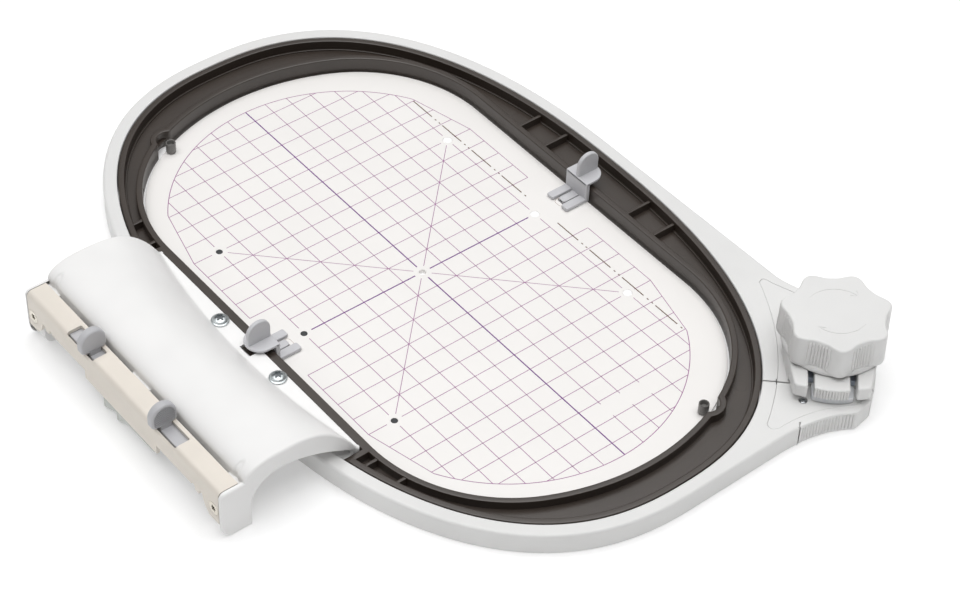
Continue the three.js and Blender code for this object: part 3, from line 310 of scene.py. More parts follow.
def along_x(points):
    """Stands a drawn (y, z) outline up, drawn out along X."""
    return points[:, [2, 0, 1]]


def along_minus_y(points):
    """Stands a drawn (x, z) outline up, drawn out along -Y."""
    return np.c_[points[:, 0], -points[:, 2], points[:, 1]]


# Meshes

def flat_faces(rows, facing_up=True):
    """Triangles that fill a level outline; further rows are its holes."""
    points = np.vstack(rows)
    faces = []
    for a, b, c in tessellate_polygon([[Vector(point) for point in row] for row in rows]):
        (ax, ay), (bx, by), (cx, cy) = points[a][:2], points[b][:2], points[c][:2]
        area = (bx - ax) * (cy - ay) - (by - ay) * (cx - ax)
        if abs(area) > 1e-12:
            face = (a, b, c) if area > 0 else (a, c, b)
            faces.append(face if facing_up else face[::-1])
    return faces


class Form:
    """Points and faces gathered into one mesh."""

    def __init__(self):
        self.points = []
        self.faces = []
        self.count = 0

    def add(self, points, faces):
        self.points.append(np.asarray(points, float))
        self.faces += [tuple(index + self.count for index in face) for face in faces]
        self.count += len(points)
        return self

    def skin(self, rows, closed=True, capped=False):
        """Faces between point rows of equal length."""
        size = len(rows[0])
        faces = []
        for row in range(len(rows) - 1):
            for step in range(size if closed else size - 1):
                a, b = row * size + step, row * size + (step + 1) % size
                faces.append((a, b, b + size, a + size))
        if capped:
            last = (len(rows) - 1) * size
            faces += [tuple(range(size))[::-1], tuple(range(last, last + size))]
        return self.add(np.vstack(rows), faces)

    def stack(self, rows, place):
        """Level rows skinned upwards, with flat ends."""
        self.skin([place(row) for row in rows])
        self.add(place(rows[0]), flat_faces(rows[:1], False))
        return self.add(place(rows[-1]), flat_faces(rows[-1:]))

    def prism(self, outlines, bottom, top, edges=0.3, place=np.asarray, steps=3, pockets=(),
              ease=1.0):
        """An upright body with rounded edges; the first outline is its outside, the rest are holes.

        edges is one radius, or (bottom, top) radii, or a list of either, one for each outline.
        pockets are (outline, floor height) hollows in the top. ease scales the outside's edge
        radius, as one share or one for each point.
        """
        edges = edges if isinstance(edges, list) else [edges] * len(outlines)
        turn = np.linspace(0, math.pi / 2, steps + 1)
        quarter = [(1 - math.sin(a), 1 - math.cos(a)) for a in turn]
        walls = []
        for number, (outline, edge) in enumerate(zip(outlines, edges)):
            low_edge, top_edge = edge if isinstance(edge, tuple) else (edge, edge)
            outline = anticlockwise(outline)
            inward = 1 if number else -ease
            lower = [(low_edge * a, bottom + low_edge * b) for a, b in quarter if low_edge]
            upper = [(top_edge * b, top - top_edge * a) for a, b in quarter if top_edge]
            insets = (lower or [(0, bottom)]) + (upper or [(0, top)])
            walls.append([level(grown(outline, inward * inset), height)
                          for inset, height in insets])
        hollows = [[level(anticlockwise(outline), height) for height in (floor, top)]
                   for outline, floor in pockets]
        for rows in walls + hollows:
            self.skin([place(row) for row in rows])
        for rows in hollows:
            self.add(place(rows[0]), flat_faces(rows[:1]))
        ends = [rows[0] for rows in walls], [rows[-1] for rows in walls + hollows]
        for rows, facing_up in zip(ends, (False, True)):
            self.add(place(np.vstack(rows)), flat_faces(rows, facing_up))
        return self

    def lathe(self, profile, centre, sides=48, place=np.asarray):
        """A turned body about +Z from (radius, height) points, bottom first."""
        turn = np.linspace(0, 2 * math.pi, sides, endpoint=False)
        around = np.c_[np.cos(turn), np.sin(turn)]
        rows = [place(level(np.asarray(centre) + radius * around, height))
                for radius, height in profile]
        return self.skin(rows, capped=True)


def box_form(xs, ys, zs, place):
    """A plain block, used only to cut with."""
    outline = [(xs[0], ys[0]), (xs[1], ys[0]), (xs[1], ys[1]), (xs[0], ys[1])]
    return Form().prism([outline], *zs, edges=0, place=place)


def mesh_object(name, form):
    mesh = bpy.data.meshes.new(name)
    points = np.vstack(form.points) * MM + SHIFT
    mesh.from_pydata(points.tolist(), [], form.faces)
    shape = bmesh.new()
    shape.from_mesh(mesh)
    bmesh.ops.remove_doubles(shape, verts=shape.verts, dist=2e-6)
    bmesh.ops.dissolve_degenerate(shape, edges=shape.edges, dist=1e-7)
    bmesh.ops.recalc_face_normals(shape, faces=shape.faces)
    shape.to_mesh(mesh)
    shape.free()
    thing = bpy.data.objects.new(name, mesh)
    bpy.context.scene.collection.objects.link(thing)
    return thing


def carve(thing, cutters):
    """Cuts closed forms out of a piece and keeps the result as its mesh."""
    tools = [mesh_object(f"cutter_{number}", cutter) for number, cutter in enumerate(cutters)]
    for tool in tools:
        cut = thing.modifiers.new(tool.name, "BOOLEAN")
        cut.operation = "DIFFERENCE"
        cut.solver = "EXACT"
        cut.object = tool
    bpy.context.view_layer.update()
    shown = thing.evaluated_get(bpy.context.evaluated_depsgraph_get())
    mesh = bpy.data.meshes.new_from_object(shown)
    thing.modifiers.clear()
    thing.data = mesh
    for tool in tools:
        bpy.data.objects.remove(tool, do_unlink=True)


def join(thing, form):
    """Adds a form to a piece's mesh as it is."""
    extra = mesh_object("joined_form", form)
    shape = bmesh.new()
    shape.from_mesh(thing.data)
    shape.from_mesh(extra.data)
    shape.to_mesh(thing.data)
    shape.free()
    bpy.data.objects.remove(extra, do_unlink=True)


def piece(name, form, look, body, nodes=(), cuts=(), crease=35, soft_edge=0.0, also=None):
    """Makes a finished piece that rides on a body and stands for its CAD nodes.

    also is a further form that joins the piece after its cuts.
    """
    thing = mesh_object(name, form)
    if cuts:
        carve(thing, cuts)
    if also:
        join(thing, also)
    thing.data.materials.clear()
    thing.data.materials.append(look)
    for face in thing.data.polygons:
        face.use_smooth = True
        face.material_index = 0
    if soft_edge:
        easing = thing.modifiers.new("soft_edge", "BEVEL")
        easing.width = soft_edge * MM
        easing.segments = 2
        easing.limit_method = "ANGLE"
        easing.angle_limit = math.radians(40)
        easing.harden_normals = True
    else:
        thing.data.set_sharp_from_angle(angle=math.radians(crease))
        weights = thing.modifiers.new("even_normals", "WEIGHTED_NORMAL")
        weights.keep_sharp = True
    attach(thing, body)
    if nodes:
        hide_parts(*nodes)
    return thing


# Materials


def srgb(red, green, blue):
    """Linear colour from 0-255 screen values."""
    def linear(value):
        value /= 255
        return value / 12.92 if value <= 0.04045 else ((value + 0.055) / 1.055) ** 2.4
    return linear(red), linear(green), linear(blue), 1.0


def tinted(colour, share):
    return tuple(min(channel * share, 1.0) for channel in colour[:3]) + (1.0,)


def surface(name, slot, cloud, stops, rough, grain=None, relief=None, waves=None, **sockets):
    """A node material with clouded colour, grained gloss and relief, and fixed shader values.

    cloud and grain are noise settings (scale, detail, roughness); the cloud serves as grain where
    none is given. stops are (place, colour) pairs and rough is a range. relief and waves are the
    (strength, depth) of the grain's and the cloud's bumps.
    """
    material = bpy.data.materials.new(name)
    material.use_nodes = True
    nodes, link = material.node_tree.nodes, material.node_tree.links.new
    shader = nodes["Principled BSDF"]
    place = nodes.new("ShaderNodeTexCoord").outputs["Object"]

    def fed(kind, source, socket, **values):
        node = nodes.new(kind)
        for key, value in values.items():
            node.inputs[key.replace("_", " ")].default_value = value
        link(source, node.inputs[socket])
        return node

    def noise(scale, detail, roughness=0.5):
        return fed("ShaderNodeTexNoise", place, "Vector", Scale=scale, Detail=detail,
                   Roughness=roughness).outputs["Fac"]

    broad = noise(*cloud)
    fine = noise(*grain) if grain else broad
    ramp = fed("ShaderNodeValToRGB", broad, "Fac")
    for element, (position, colour) in zip(ramp.color_ramp.elements, stops):
        element.position = position
        element.color = colour
    link(ramp.outputs["Color"], shader.inputs["Base Color"])
    gloss = fed("ShaderNodeMapRange", fine, "Value", From_Min=0.3, From_Max=0.7,
                To_Min=rough[0], To_Max=rough[1])
    link(gloss.outputs["Result"], shader.inputs["Roughness"])
    below = None
    for source, setting in ((broad, waves), (fine, relief)):
        if setting:
            bump = fed("ShaderNodeBump", source, "Height", Strength=setting[0],
                       Distance=setting[1] * MM)
            if below:
                link(below, bump.inputs["Normal"])
            below = bump.outputs["Normal"]
    if below:
        link(below, shader.inputs["Normal"])
    for key, value in sockets.items():
        shader.inputs[key.replace("_", " ")].default_value = value
    return material


def moulded(name, slot, colour, rough, grain=5200, depth=0.012, tone=0.03, **sockets):
    """Plastic with fine spark-eroded grain, slow sink waviness and a faint change of tone."""
    stops = [(0.3, tinted(colour, 1 - tone)), (0.7, tinted(colour, 1 + tone / 2))]
    return surface(name, slot, (38, 2.0), stops, (rough - 0.06, rough + 0.06), (grain, 4.0, 0.6),
                   (0.25, depth), (0.10, 0.4), **sockets)


def ink(name, colour):
    """Screen-printed ink with slightly uneven cover."""
    stops = [(0.25, tinted(colour, 1.25)), (0.7, colour)]
    return surface(name, "printed_sheet", (2600, 3.0), stops, (0.45, 0.6), Specular_IOR_Level=0.2)


def steel(name, colour, rough):
    """Plated steel with turning marks and a bluish cast."""
    stops = [(0.3, tinted(colour, 0.88)), (0.7, tinted(colour, 1.06))]
    return surface(name, "zinc_steel", (420, 2.0), stops, (rough - 0.05, rough + 0.07),
                   (2400, 4.0, 0.6), (0.12, 0.006), Metallic=1.0)


white = moulded("white_satin_plastic", "white_plastic", (0.745, 0.743, 0.735, 1), 0.42)
cover_white = moulded("cover_satin_plastic", "white_plastic", (0.86, 0.855, 0.848, 1), 0.44,
                      grain=4800)
panel_white = moulded("panel_satin_plastic", "white_plastic", (0.75, 0.748, 0.74, 1), 0.45,
                      grain=4400, depth=0.016)
# Grey for the lug: painted shade cast on it by the draw block above
lug_painted_shade = moulded("lug_painted_shade_plastic", "white_plastic", srgb(219, 221, 224), 0.48)
# Blue-grey for the yoke's floor: painted shade deep in the slots beside the draw block
slot_painted_shade = moulded("slot_painted_shade_plastic", "white_plastic", srgb(196, 206, 220), 0.5)
mark_white = moulded("mark_white_plastic", "white_plastic", (0.97, 0.97, 0.97, 1), 0.6, tone=0.01)
dark = moulded("dark_brown_plastic", "dark_plastic", srgb(53, 44, 37), 0.36, grain=3600, depth=0.02,
               tone=0.12, Specular_IOR_Level=0.8)
mark_grey = moulded("mark_grey_plastic", "dark_plastic", srgb(54, 56, 58), 0.5, tone=0.1)
grey = moulded("light_grey_plastic", "grey_plastic", srgb(198, 198, 201), 0.45)
# The clips' grey made darker for the levers: painted shade of their outer faces
lever_painted_shade_grey = moulded("lever_painted_shade_plastic", "grey_plastic", srgb(186, 186, 189), 0.45)
peg_grey = moulded("peg_smoke_plastic", "grey_plastic", srgb(120, 118, 116), 0.28, tone=0.08)
# Milky polished sheet with faint handling haze
sheet = surface("printed_sheet_plastic", "printed_sheet", (26, 4.0),
                [(0.25, (0.85, 0.83, 0.81, 1)), (0.75, (0.88, 0.86, 0.84, 1))], (0.30, 0.38),
                (900, 3.0), (0.06, 0.01))
window_ink = ink("window_line", srgb(186, 176, 170))
thin_ink = ink("violet_ink", srgb(150, 100, 142))
bold_ink = ink("deep_violet_ink", srgb(110, 62, 128))
dash_ink = ink("brown_ink", srgb(98, 72, 60))
# Beige sheet metal with a fine sandy coat
coat = srgb(226, 219, 209)
rail_metal = surface("rail_coated_metal", "rail_metal", (60, 3.0),
                     [(0.3, tinted(coat, 0.97)), (0.7, tinted(coat, 1.02))], (0.42, 0.56),
                     (2600, 4.0, 0.65), (0.3, 0.012), Metallic=0.12)
zinc = steel("bright_zinc", (0.60, 0.64, 0.65, 1), 0.36)
nickel = steel("warm_nickel", (0.74, 0.70, 0.62, 1), 0.4)
# Near-black floor for the screws' drive recesses: painted shade
socket_painted_shade = steel("socket_painted_shade", (0.20, 0.21, 0.22, 1), 0.45)
pin_steel = steel("pin_steel", (0.50, 0.52, 0.54, 1), 0.3)
# Clear milky plastic
tab = surface("tab_milky_plastic", "tab_plastic", (120, 3.0),
              [(0.3, srgb(205, 209, 203)), (0.7, srgb(222, 225, 220))], (0.16, 0.26), (2200, 3.0),
              (0.08, 0.01), Transmission_Weight=0.15, IOR=1.45)


# Outer ring, its inlay panels and the ribbed grip

def outer_outline():
    """Outside of the ring with both ears, drawn from the near ear over its tip to the far ear."""
    cos, sin = math.cos(CLAMP_ANGLE), math.sin(CLAMP_ANGLE)
    start, end = np.array([-17.5, -46.0]), np.array([-20.0, 45.0])
    ear = np.vstack([bend(start, start + 21.2 * np.array([sin, cos]), (11.7, -29.8), 60),
                     bend((17.3, -EAR_TIP), (21.9, 0), (17.3, EAR_TIP), 40),
                     bend((11.7, 29.8), end + 8 * np.array([cos, -sin]), end, 60)])
    path = np.vstack([ring_outline(RING_WIDTH, 90, 360, 700), clamp_to_hoop(ear)])
    return softened(anticlockwise(path), 0.8, 0.9)


def ring_with_grip_bed(outline):
    """The outline without the grip's strip, as (x, y, edge share); the bed's edges are sharp."""
    def in_strip(point):
        return point[0] > GRIP_START and point[1] < -EAR_TIP - GRIP_DEPTH

    plan = hoop_to_clamp(outline)
    kept = []
    for before, point in zip(np.roll(plan, 1, 0), plan):
        if in_strip(point):
            if not in_strip(before):
                share = (GRIP_START - before[0]) / (point[0] - before[0])
                x, y = before + share * (point - before)
                kept += [(x, y, 0), (x, y + GRIP_DEPTH, 0)]
            kept.append((point[0], point[1] + GRIP_DEPTH, 0))
        elif not (-EAR_TIP - GRIP_DEPTH <= point[1] < -EAR_TIP and point[0] > 0):
            kept.append((*point, 1))
    return clamp_to_hoop(np.array(kept))


def panel_outline(inset):
    """One inlay over both ears, in the clamp frame."""
    def drawn(x, y, outward=0):
        return x + outward * inset, y - math.copysign(inset, y)

    near_horn, far_horn = drawn(-23.7, -39.8, 1), drawn(-27.2, 39.8, 1)
    end = 14.6 - inset
    return np.vstack([
        bend(near_horn, drawn(-22.6, -43.6, 1), drawn(-18.6, -41.2), 10),
        bend(drawn(-18.6, -41.2), drawn(-6.2, -28.8), drawn(10.6, -25.6), 24),
        bend((end - 1.2, -22.8), (end, -21.6), (end, -19.5), 6),
        bend((end, 19.3), (end, 21.4), (end - 1.2, 22.6), 6),
        bend(drawn(10.6, 25.4), drawn(-12, 34.5), drawn(-22.5, 40.6), 24),
        bend(drawn(-22.5, 40.6), drawn(-26.5, 44, 1), far_horn, 10),
        bend(far_horn, (-13.8 + inset, 0), near_horn, 40)])


ring_outside = outer_outline()
ring_plan = ring_with_grip_bed(ring_outside)
ring_form = Form().prism([ring_plan[:, :2], ring_outline(0)[:-1]], 0, RING_TOP,
                         edges=[(0.8, 1.4), (0.5, 0.6)], steps=6, ease=ring_plan[:, 2],
                         pockets=[(clamp_to_hoop(panel_outline(0)), PANEL_BED)])
bridge = np.vstack([[(HALF_COUPLING, -BRIDGE_BACK), (HALF_COUPLING, -FLANGE_EDGE),
                     (-HALF_COUPLING, -FLANGE_EDGE), (-HALF_COUPLING, -BRIDGE_BACK)],
                    ring_outline(3, 243, 297, 60)])
split_cut = box_form((-40, 30), (SPLIT - SPLIT_HALF, SPLIT + SPLIT_HALF), (-1, 12), clamp_to_hoop)
seam_slot = box_form((-20.3, -19.5), (-17.9, -14.8), (5, 12), clamp_to_hoop)
grip_seam = box_form((-11.23, -11.01), (-43, -37.2), (9.2, 12), clamp_to_hoop)
piece("outer_ring_shell", ring_form, white, "base", ["outer_ring"],
      [split_cut, seam_slot, grip_seam], also=Form().prism([bridge], 0.02, 6.9, edges=0.4))

panel = without_repeats(panel_outline(0.13))
for name, sign, holes in (("ear_panel_near", -1, [circle(STOP_PIN, 1.75, 32)]),
                          ("ear_panel_far", 1, [])):
    inlay = kept_side(panel, SPLIT + sign * SPLIT_HALF, sign)
    form = Form().prism([inlay] + holes, 8.2, RING_TOP, edges=(0, 0.14), place=clamp_to_hoop)
    piece(f"{name}_inlay", form, panel_white, "base", [name])

# Height, share of the ribs and inset, from bottom to top
GRIP_LEVELS = ((0.1, 0, 0.5), (0.3, 0, 0.2), (0.6, 0, 0.05), (1.0, 0, 0), (1.4, 0.6, 0),
               (1.8, 1, 0), (7.9, 1, 0), (8.3, 0.85, 0), (8.6, 0.5, 0), (8.75, 0, 0), (9.2, 0, 0),
               (9.45, 0, 0.06), (9.66, 0, 0.2), (9.77, 0, 0.38), (9.8, 0, 0.6))


def grip_form():
    """Strip with fine upright ribs below a smooth rim; the tip is plain."""
    plan = hoop_to_clamp(ring_outside)
    inside = (plan[:, 0] > GRIP_START + 0.05) & (plan[:, 1] < -EAR_TIP - 0.03)
    path = even_spacing(plan[inside], 0.06, closed=False)
    length = path_lengths(path)
    places, heights = ribs(16)
    run = np.r_[0, 0.5, 1.0, 1.2 + 1.38 * places, np.arange(23.6, length[-1], 0.25), length[-1]]
    rib = np.r_[1, 1, 1, heights, np.ones(len(run) - len(places) - 3)]
    edge = np.c_[np.interp(run, length, path[:, 0]), np.interp(run, length, path[:, 1])]
    inward = left_of(np.gradient(edge, axis=0))
    sunk = 0.15 * np.clip(np.minimum(run / 0.5, (length[-1] - run) / 4), 0, 1)
    back = edge + (0, GRIP_DEPTH - 0.02)
    back = back[back[:, 1] < -EAR_TIP - 0.05][::-1]
    rows = []
    for height, share, inset in GRIP_LEVELS:
        depth = sunk * (1 - share) + RIB_DEPTH * (1 - rib) * share + inset
        rows.append(level(np.vstack([edge + inward * depth[:, None], back]), height))
    return Form().stack(rows, clamp_to_hoop)


piece("ear_grip_ribs", grip_form(), white, "base", ["ear_grip"], crease=75)


# Clamp: yoke, lug, pin, draw block and knob

arms = filleted([(-18.2, 0, 0), (-14.1, -25.7, 2.4), (-8.6, -26.6, 0.9), (-8.6, 9.4, 1),
                 (10.6, 9.4, 1), (10.6, -26.0, 0.9), (16.0, -24.7, 2.2), (20.2, 0, 0)])
yoke = without_repeats(np.vstack([arms, arc(KNOB_AXIS, 19.2, 2, 178, 60)]))
yoke_form = Form().prism([yoke], 12.7, 18.9, edges=(0.5, 0.9), place=clamp_to_hoop, steps=6)
yoke_form.prism([kept_side(yoke, -15.6)], 10.1, 13.6, edges=(0.3, 0), place=clamp_to_hoop)
piece("clamp_yoke_fork", yoke_form, white, "base", ["clamp_yoke"])
# The yoke's floor is a blue-grey piece: painted shade in the slots between the arms and the block
yoke_floor = Form().prism([round_box(-8.55, 10.55, -15.6, 9.3, 0.4)], 10.15, 12.7, edges=0.3,
                          place=clamp_to_hoop)
piece("clamp_yoke_floor", yoke_floor, slot_painted_shade, "base", ["clamp_yoke"])


def round_front(radius, left, right, back, steps=40):
    """Plan of a block with a front rounded about the knob's axis."""
    start = 180 + math.degrees(math.acos(-left / radius))
    end = 360 - math.degrees(math.acos(right / radius))
    return np.vstack([[(left, back)], arc((0, 0), radius, start, end, steps), [(right, back)]])


lug = softened(anticlockwise(round_front(26.2, -7.7, 8.9, -17.6)), 0.25, 0.9)
lug_form = Form().prism([lug], 10.1, 12.6, edges=(0.2, 0.4), place=spindle_to_hoop, steps=5)
# The lug's grey look is painted shade under the draw block
piece("anchor_lug_block", lug_form, lug_painted_shade, "base", ["anchor_lug"])

DRAW_LEVELS = ((13.0, 0.2, 0.8), (13.1, 0.6, 0.45), (13.3, 0.9, 0.16), (13.7, 1, 0), (17.2, 1, 0),
               (17.65, 0.75, 0), (17.9, 0.3, 0), (18.05, 0, 0), (18.35, 0, 0.1), (18.58, 0, 0.35),
               (18.7, 0, 0.8))


def draw_form():
    """Arm with a ribbed round front, and the eye round the cam."""
    left, right, back, radius = -7.2, 6.8, -4, 27.6
    places, rib = ribs(12)
    start, end = -math.pi + math.acos(-left / radius), -math.acos(right / radius)
    turn = start + (end - start) * places / 12
    rows = []
    for height, share, inset in DRAW_LEVELS:
        reach = radius - inset - 0.15 * (1 - share) - RIB_DEPTH * (1 - rib) * share
        across = np.clip(reach * np.cos(turn), left + inset, right - inset)
        plan = np.vstack([[(left + inset, back)], np.c_[across, reach * np.sin(turn)],
                          [(right - inset, back)]])
        rows.append(level(plan, height))
    eye = [round_box(-8.2, 8.2, -5.6, 8.6, 0.8), round_box(-6.6, 6.6, -4.0, 7.0, 0.6)]
    form = Form().stack(rows, spindle_to_hoop)
    return form.prism(eye, 13.0, 18.7, edges=0.3, place=spindle_to_hoop)


piece("draw_block_arm", draw_form(), white, "draw", ["draw_block"], crease=75)

pin_profile = [(1.45, 3.0), (1.45, 8.9), (1.35, 9.25), (1.1, 9.5), (0.7, 9.66), (0.2, 9.7)]
piece("stop_pin_turned", Form().lathe(pin_profile, STOP_PIN, 32, clamp_to_hoop), pin_steel, "base",
      ["stop_pin"], crease=60)

# Height, inset and share of the ribs
KNOB_LEVELS = [(20.0, 1.4, 0), (20.3, 0.75, 0), (20.8, 0.3, 0), (21.4, 0.06, 0), (22.0, 0, 0),
               (22.5, 0, 0.5), (23.0, 0, 1), (28.0, 0, 1), (32.4, 0, 1), (32.9, 0, 0.85),
               (33.2, 0, 0.5), (33.35, 0, 0)]
KNOB_COLLAR = [(17.6, 19.2), (20.2, 19.2), (20.6, 19.5), (20.6, 20.6), (20.2, 21.4), (19.4, 21.9)]


def knob_form():
    """Seven-lobed grip with seven fine ribs in each valley, a slight flare and a soft top edge."""
    lobes, lobe_reach, pitch, edge, flare = 7, 3.2, 1.24, 0.9, 0.03
    places, heights = ribs(7)
    valley = (places - 3.5) * pitch / KNOB_VALLEY
    lobe = np.linspace(valley[-1], 2 * math.pi / lobes - valley[-1], 40)[1:-1]
    rib = np.tile(np.r_[RIB_DEPTH * heights - 0.2, np.zeros(len(lobe))], lobes)
    turn = np.concatenate([np.r_[valley, lobe] + math.pi / lobes * (2 * number + 1)
                           for number in range(lobes)])
    plain = KNOB_VALLEY + lobe_reach * ((1 + np.cos(lobes * turn)) / 2) ** 1.5
    around = np.c_[np.cos(turn + KNOB_PHASE), np.sin(turn + KNOB_PHASE)]
    top_edge = [(KNOB_TOP - edge * (1 - math.sin(a)), edge * (1 - math.cos(a)), 0)
                for a in np.linspace(0, math.pi / 2, 7)]
    rows = []
    for height, inset, share in KNOB_LEVELS + top_edge:
        reach = plain + rib * share - inset + flare * (KNOB_TOP - height)
        rows.append(level(reach[:, None] * around, height))
    rows += [rows[-1] * (share, share, 1) for share in (0.93, 0.6, 0.3, 0.05)]
    form = Form().skin([spindle_to_hoop(row) for row in rows], capped=True)
    return form.lathe(KNOB_COLLAR, (0, 0), 120, spindle_to_hoop)


def arrow_cutters():
    """Two clockwise arrows engraved in the knob's top."""
    radius, half, barb, depth = 12.4, 0.22, 3.1, 0.16
    strokes = []
    for start, end in ((151.8, 49.3), (-29.0, -128.0)):
        tip = arc((0, 0), radius, end, end, 1)[0]
        strokes.append(np.vstack([arc((0, 0), radius + half, start, end, 48),
                                  arc((0, 0), radius - half, end, start, 48)]))
        for turn in (math.radians(end + 90 - 40), math.radians(end + 90 + 40)):
            run = np.array([math.cos(turn), math.sin(turn)])
            side = half * np.array([-run[1], run[0]])
            near, far = tip - 0.2 * run, tip + barb * run
            strokes.append(np.array([near - side, far - side, far + side, near + side]))
    return [Form().prism([stroke], KNOB_TOP - depth, KNOB_TOP + 0.6, edges=0, place=spindle_to_hoop)
            for stroke in strokes]


piece("twist_knob_grip", knob_form(), white, "knob", ["twist_knob"], arrow_cutters(), crease=70)


# Inner ring

def near_y(offset, x):
    """Y of the near side of a ring outline at an x."""
    points = ring_outline(offset, 180, 360, 720)
    return np.interp(x, points[:, 0], points[:, 1])


def ring_band(offset, reach, steps=640):
    """The ring's oval without its part nearer than a reach to the coupling's middle."""
    points = ring_outline(offset, -90, 270, steps)[:-1]
    away = ~((np.abs(points[:, 0]) < reach) & (points[:, 1] < 0))
    first = np.argmax(away)
    points = points[first:first + np.count_nonzero(away)]
    y = near_y(offset, reach)
    return np.vstack([(reach, y), points, (-reach, y)])


def pushed(points, radius):
    """An opening outline bulged outwards round the two template recesses."""
    points = even_spacing(points, 0.7)
    for centre in RECESSES:
        inward = -unit(centre)
        away = points - centre
        along = away @ inward
        across = away @ np.array([-inward[1], inward[0]])
        bulge = np.sqrt(np.maximum(radius ** 2 - across ** 2, 0))
        moved = (np.abs(across) < radius) & (np.linalg.norm(away, axis=1) < 3 * radius)
        moved &= along > -bulge
        points = np.where(moved[:, None], points + (-bulge - along)[:, None] * inward, points)
    return points


def inner_ring_form():
    """Open channel with walls, ledge, floor, cross ribs, tongue and faint ejector marks."""
    form = Form()
    outer = -INNER_GAP
    wall = np.vstack([ring_band(outer, 70.6), ring_band(outer - INNER_WALL, 70.6)[::-1]])
    form.prism([wall], 0.3, INNER_TOP, edges=(0.3, 0.45))
    near_wall = [(-71.6, near_y(outer, 71.6)), (-71.6, -82.4), (71.6, -82.4),
                 (71.6, near_y(outer, 71.6)), (68.9, near_y(outer, 68.9)), (68.9, -85.4),
                 (-68.9, -85.4), (-68.9, near_y(outer, 68.9))]
    form.prism([near_wall], 0.3, INNER_WALL_TOP, edges=(0.3, 0.4))
    form.prism([pushed(opening_outline(INNER_WALL), RECESS_OUTSIDE),
                pushed(opening_outline(0), RECESS_INSIDE)],
               0.32, INNER_WALL_TOP - 0.02, edges=[(0.2, 0.4), (0.2, 0.55)])
    ledge = np.vstack([ring_band(-2.9, 71.2), ring_band(-3.9, 71.2)[::-1]])
    form.prism([ledge], 4.6, 5.5, edges=0.3)
    floor = np.vstack([ring_band(-1.5, 70), [(-70, -83.5), (70, -83.5)]])
    form.prism([floor, opening_outline(1.2)], 2.9, 4.9, edges=0.1)
    for side in (-1, 1):
        for x, ys in ((27.2, (82.5, 98.5)), (43.9, (81.8, 97.5)), (76, (-92.2, -82.4)),
                      (90, (-87.5, -79.4))):
            rib = round_box(side * x - 0.75, side * x + 0.75, *ys, 0.3)
            form.prism([rib], 4.5, 8.4, edges=(0, 0.35))
    form.prism([round_box(-3.2, 3.2, -91.1, -84.6, 0.4)], 7.2, INNER_WALL_TOP, edges=0.3)
    for place in ((128.9, 56.0), (56.5, 89.6), (-128.9, 56.0), (-56.5, 89.6), (-110, -70),
                  (110, -70)):
        form.lathe([(2.3, 4.8), (2.3, 4.96), (2.2, 5.0)], place, 40)
    return form


piece("inner_ring_channel", inner_ring_form(), dark, "inner", ["inner_ring"])


# Template, its print, pegs and clips

def template_form():
    """Sheet with holes for the marks, the middle, the pegs and the clips' tongues."""
    outlines = [opening_outline(-1)]
    outlines += [circle(PRINT_SHIFT + hole, 1.45 if hole[1] < 0 else 2, 40) for hole in MARK_HOLES]
    outlines.append(circle(PRINT_SHIFT, 1.5, 32))
    outlines += [circle(peg, 1.5, 28) for peg in PEGS]
    outlines += [round_box(-2.2, 2.2, *ys, 0.7) for ys in ((70.9, 74.1), (-74.1, -70.9))]
    return Form().prism(outlines, SHEET_BOTTOM, SHEET_TOP, edges=0.15)


piece("template_sheet", template_form(), sheet, "sheet", ["template"])

for number, hole in enumerate(MARK_HOLES):
    radius, look = (1.42, mark_grey) if hole[1] < 0 else (1.95, mark_white)
    plug = [(radius, 0.6), (radius, 1.85), (radius - 0.06, 1.93), (radius - 0.3, 1.95), (0.2, 1.95)]
    piece(f"template_mark_{number + 1}", Form().lathe(plug, PRINT_SHIFT + hole, 40), look, "sheet",
          crease=60)


def strip(form, path, width, lift):
    """A flat line of ink along a path of print coordinates."""
    path = np.asarray(path, float)
    side = left_of(np.gradient(path, axis=0)) * width / 2
    rows = [level(path + PRINT_SHIFT + edge, SHEET_TOP + lift) for edge in (-side, side)]
    form.skin(rows, closed=False)


def pieces_outside(start, end, gaps):
    """Stretches of a straight line that stay out of round gaps, as (start, end) points."""
    start, end = np.asarray(start, float), np.asarray(end, float)
    length = np.linalg.norm(end - start)
    run = (end - start) / length
    blocked = []
    for centre, radius in gaps:
        along = (centre - start) @ run
        across = abs((centre - start) @ np.array([-run[1], run[0]]))
        if across < radius:
            half = math.sqrt(radius ** 2 - across ** 2)
            blocked.append((along - half, along + half))
    place = 0.0
    kept = []
    for low_end, high_end in sorted(blocked):
        if low_end > place:
            kept.append((place, min(low_end, length)))
        place = max(place, high_end)
    if place < length:
        kept.append((place, length))
    return [(start + run * a, start + run * b) for a, b in kept if b - a > 0.2]


def field_half_height(x):
    """Half the printed field's height at an x."""
    x = abs(x)
    if x <= FIELD_FLAT:
        return FIELD_TOP
    if x <= FIELD_CORNER_X:
        slope = (FIELD_TOP - FIELD_CORNER_Y) / (FIELD_CORNER_X - FIELD_FLAT)
        return FIELD_TOP - (x - FIELD_FLAT) * slope
    return math.sqrt(max(FIELD_ARC ** 2 - (x - FIELD_ARC_X) ** 2, 0))


def field_half_width(y):
    """Half the printed field's width at a y."""
    return FIELD_ARC_X + math.sqrt(FIELD_ARC ** 2 - y ** 2)


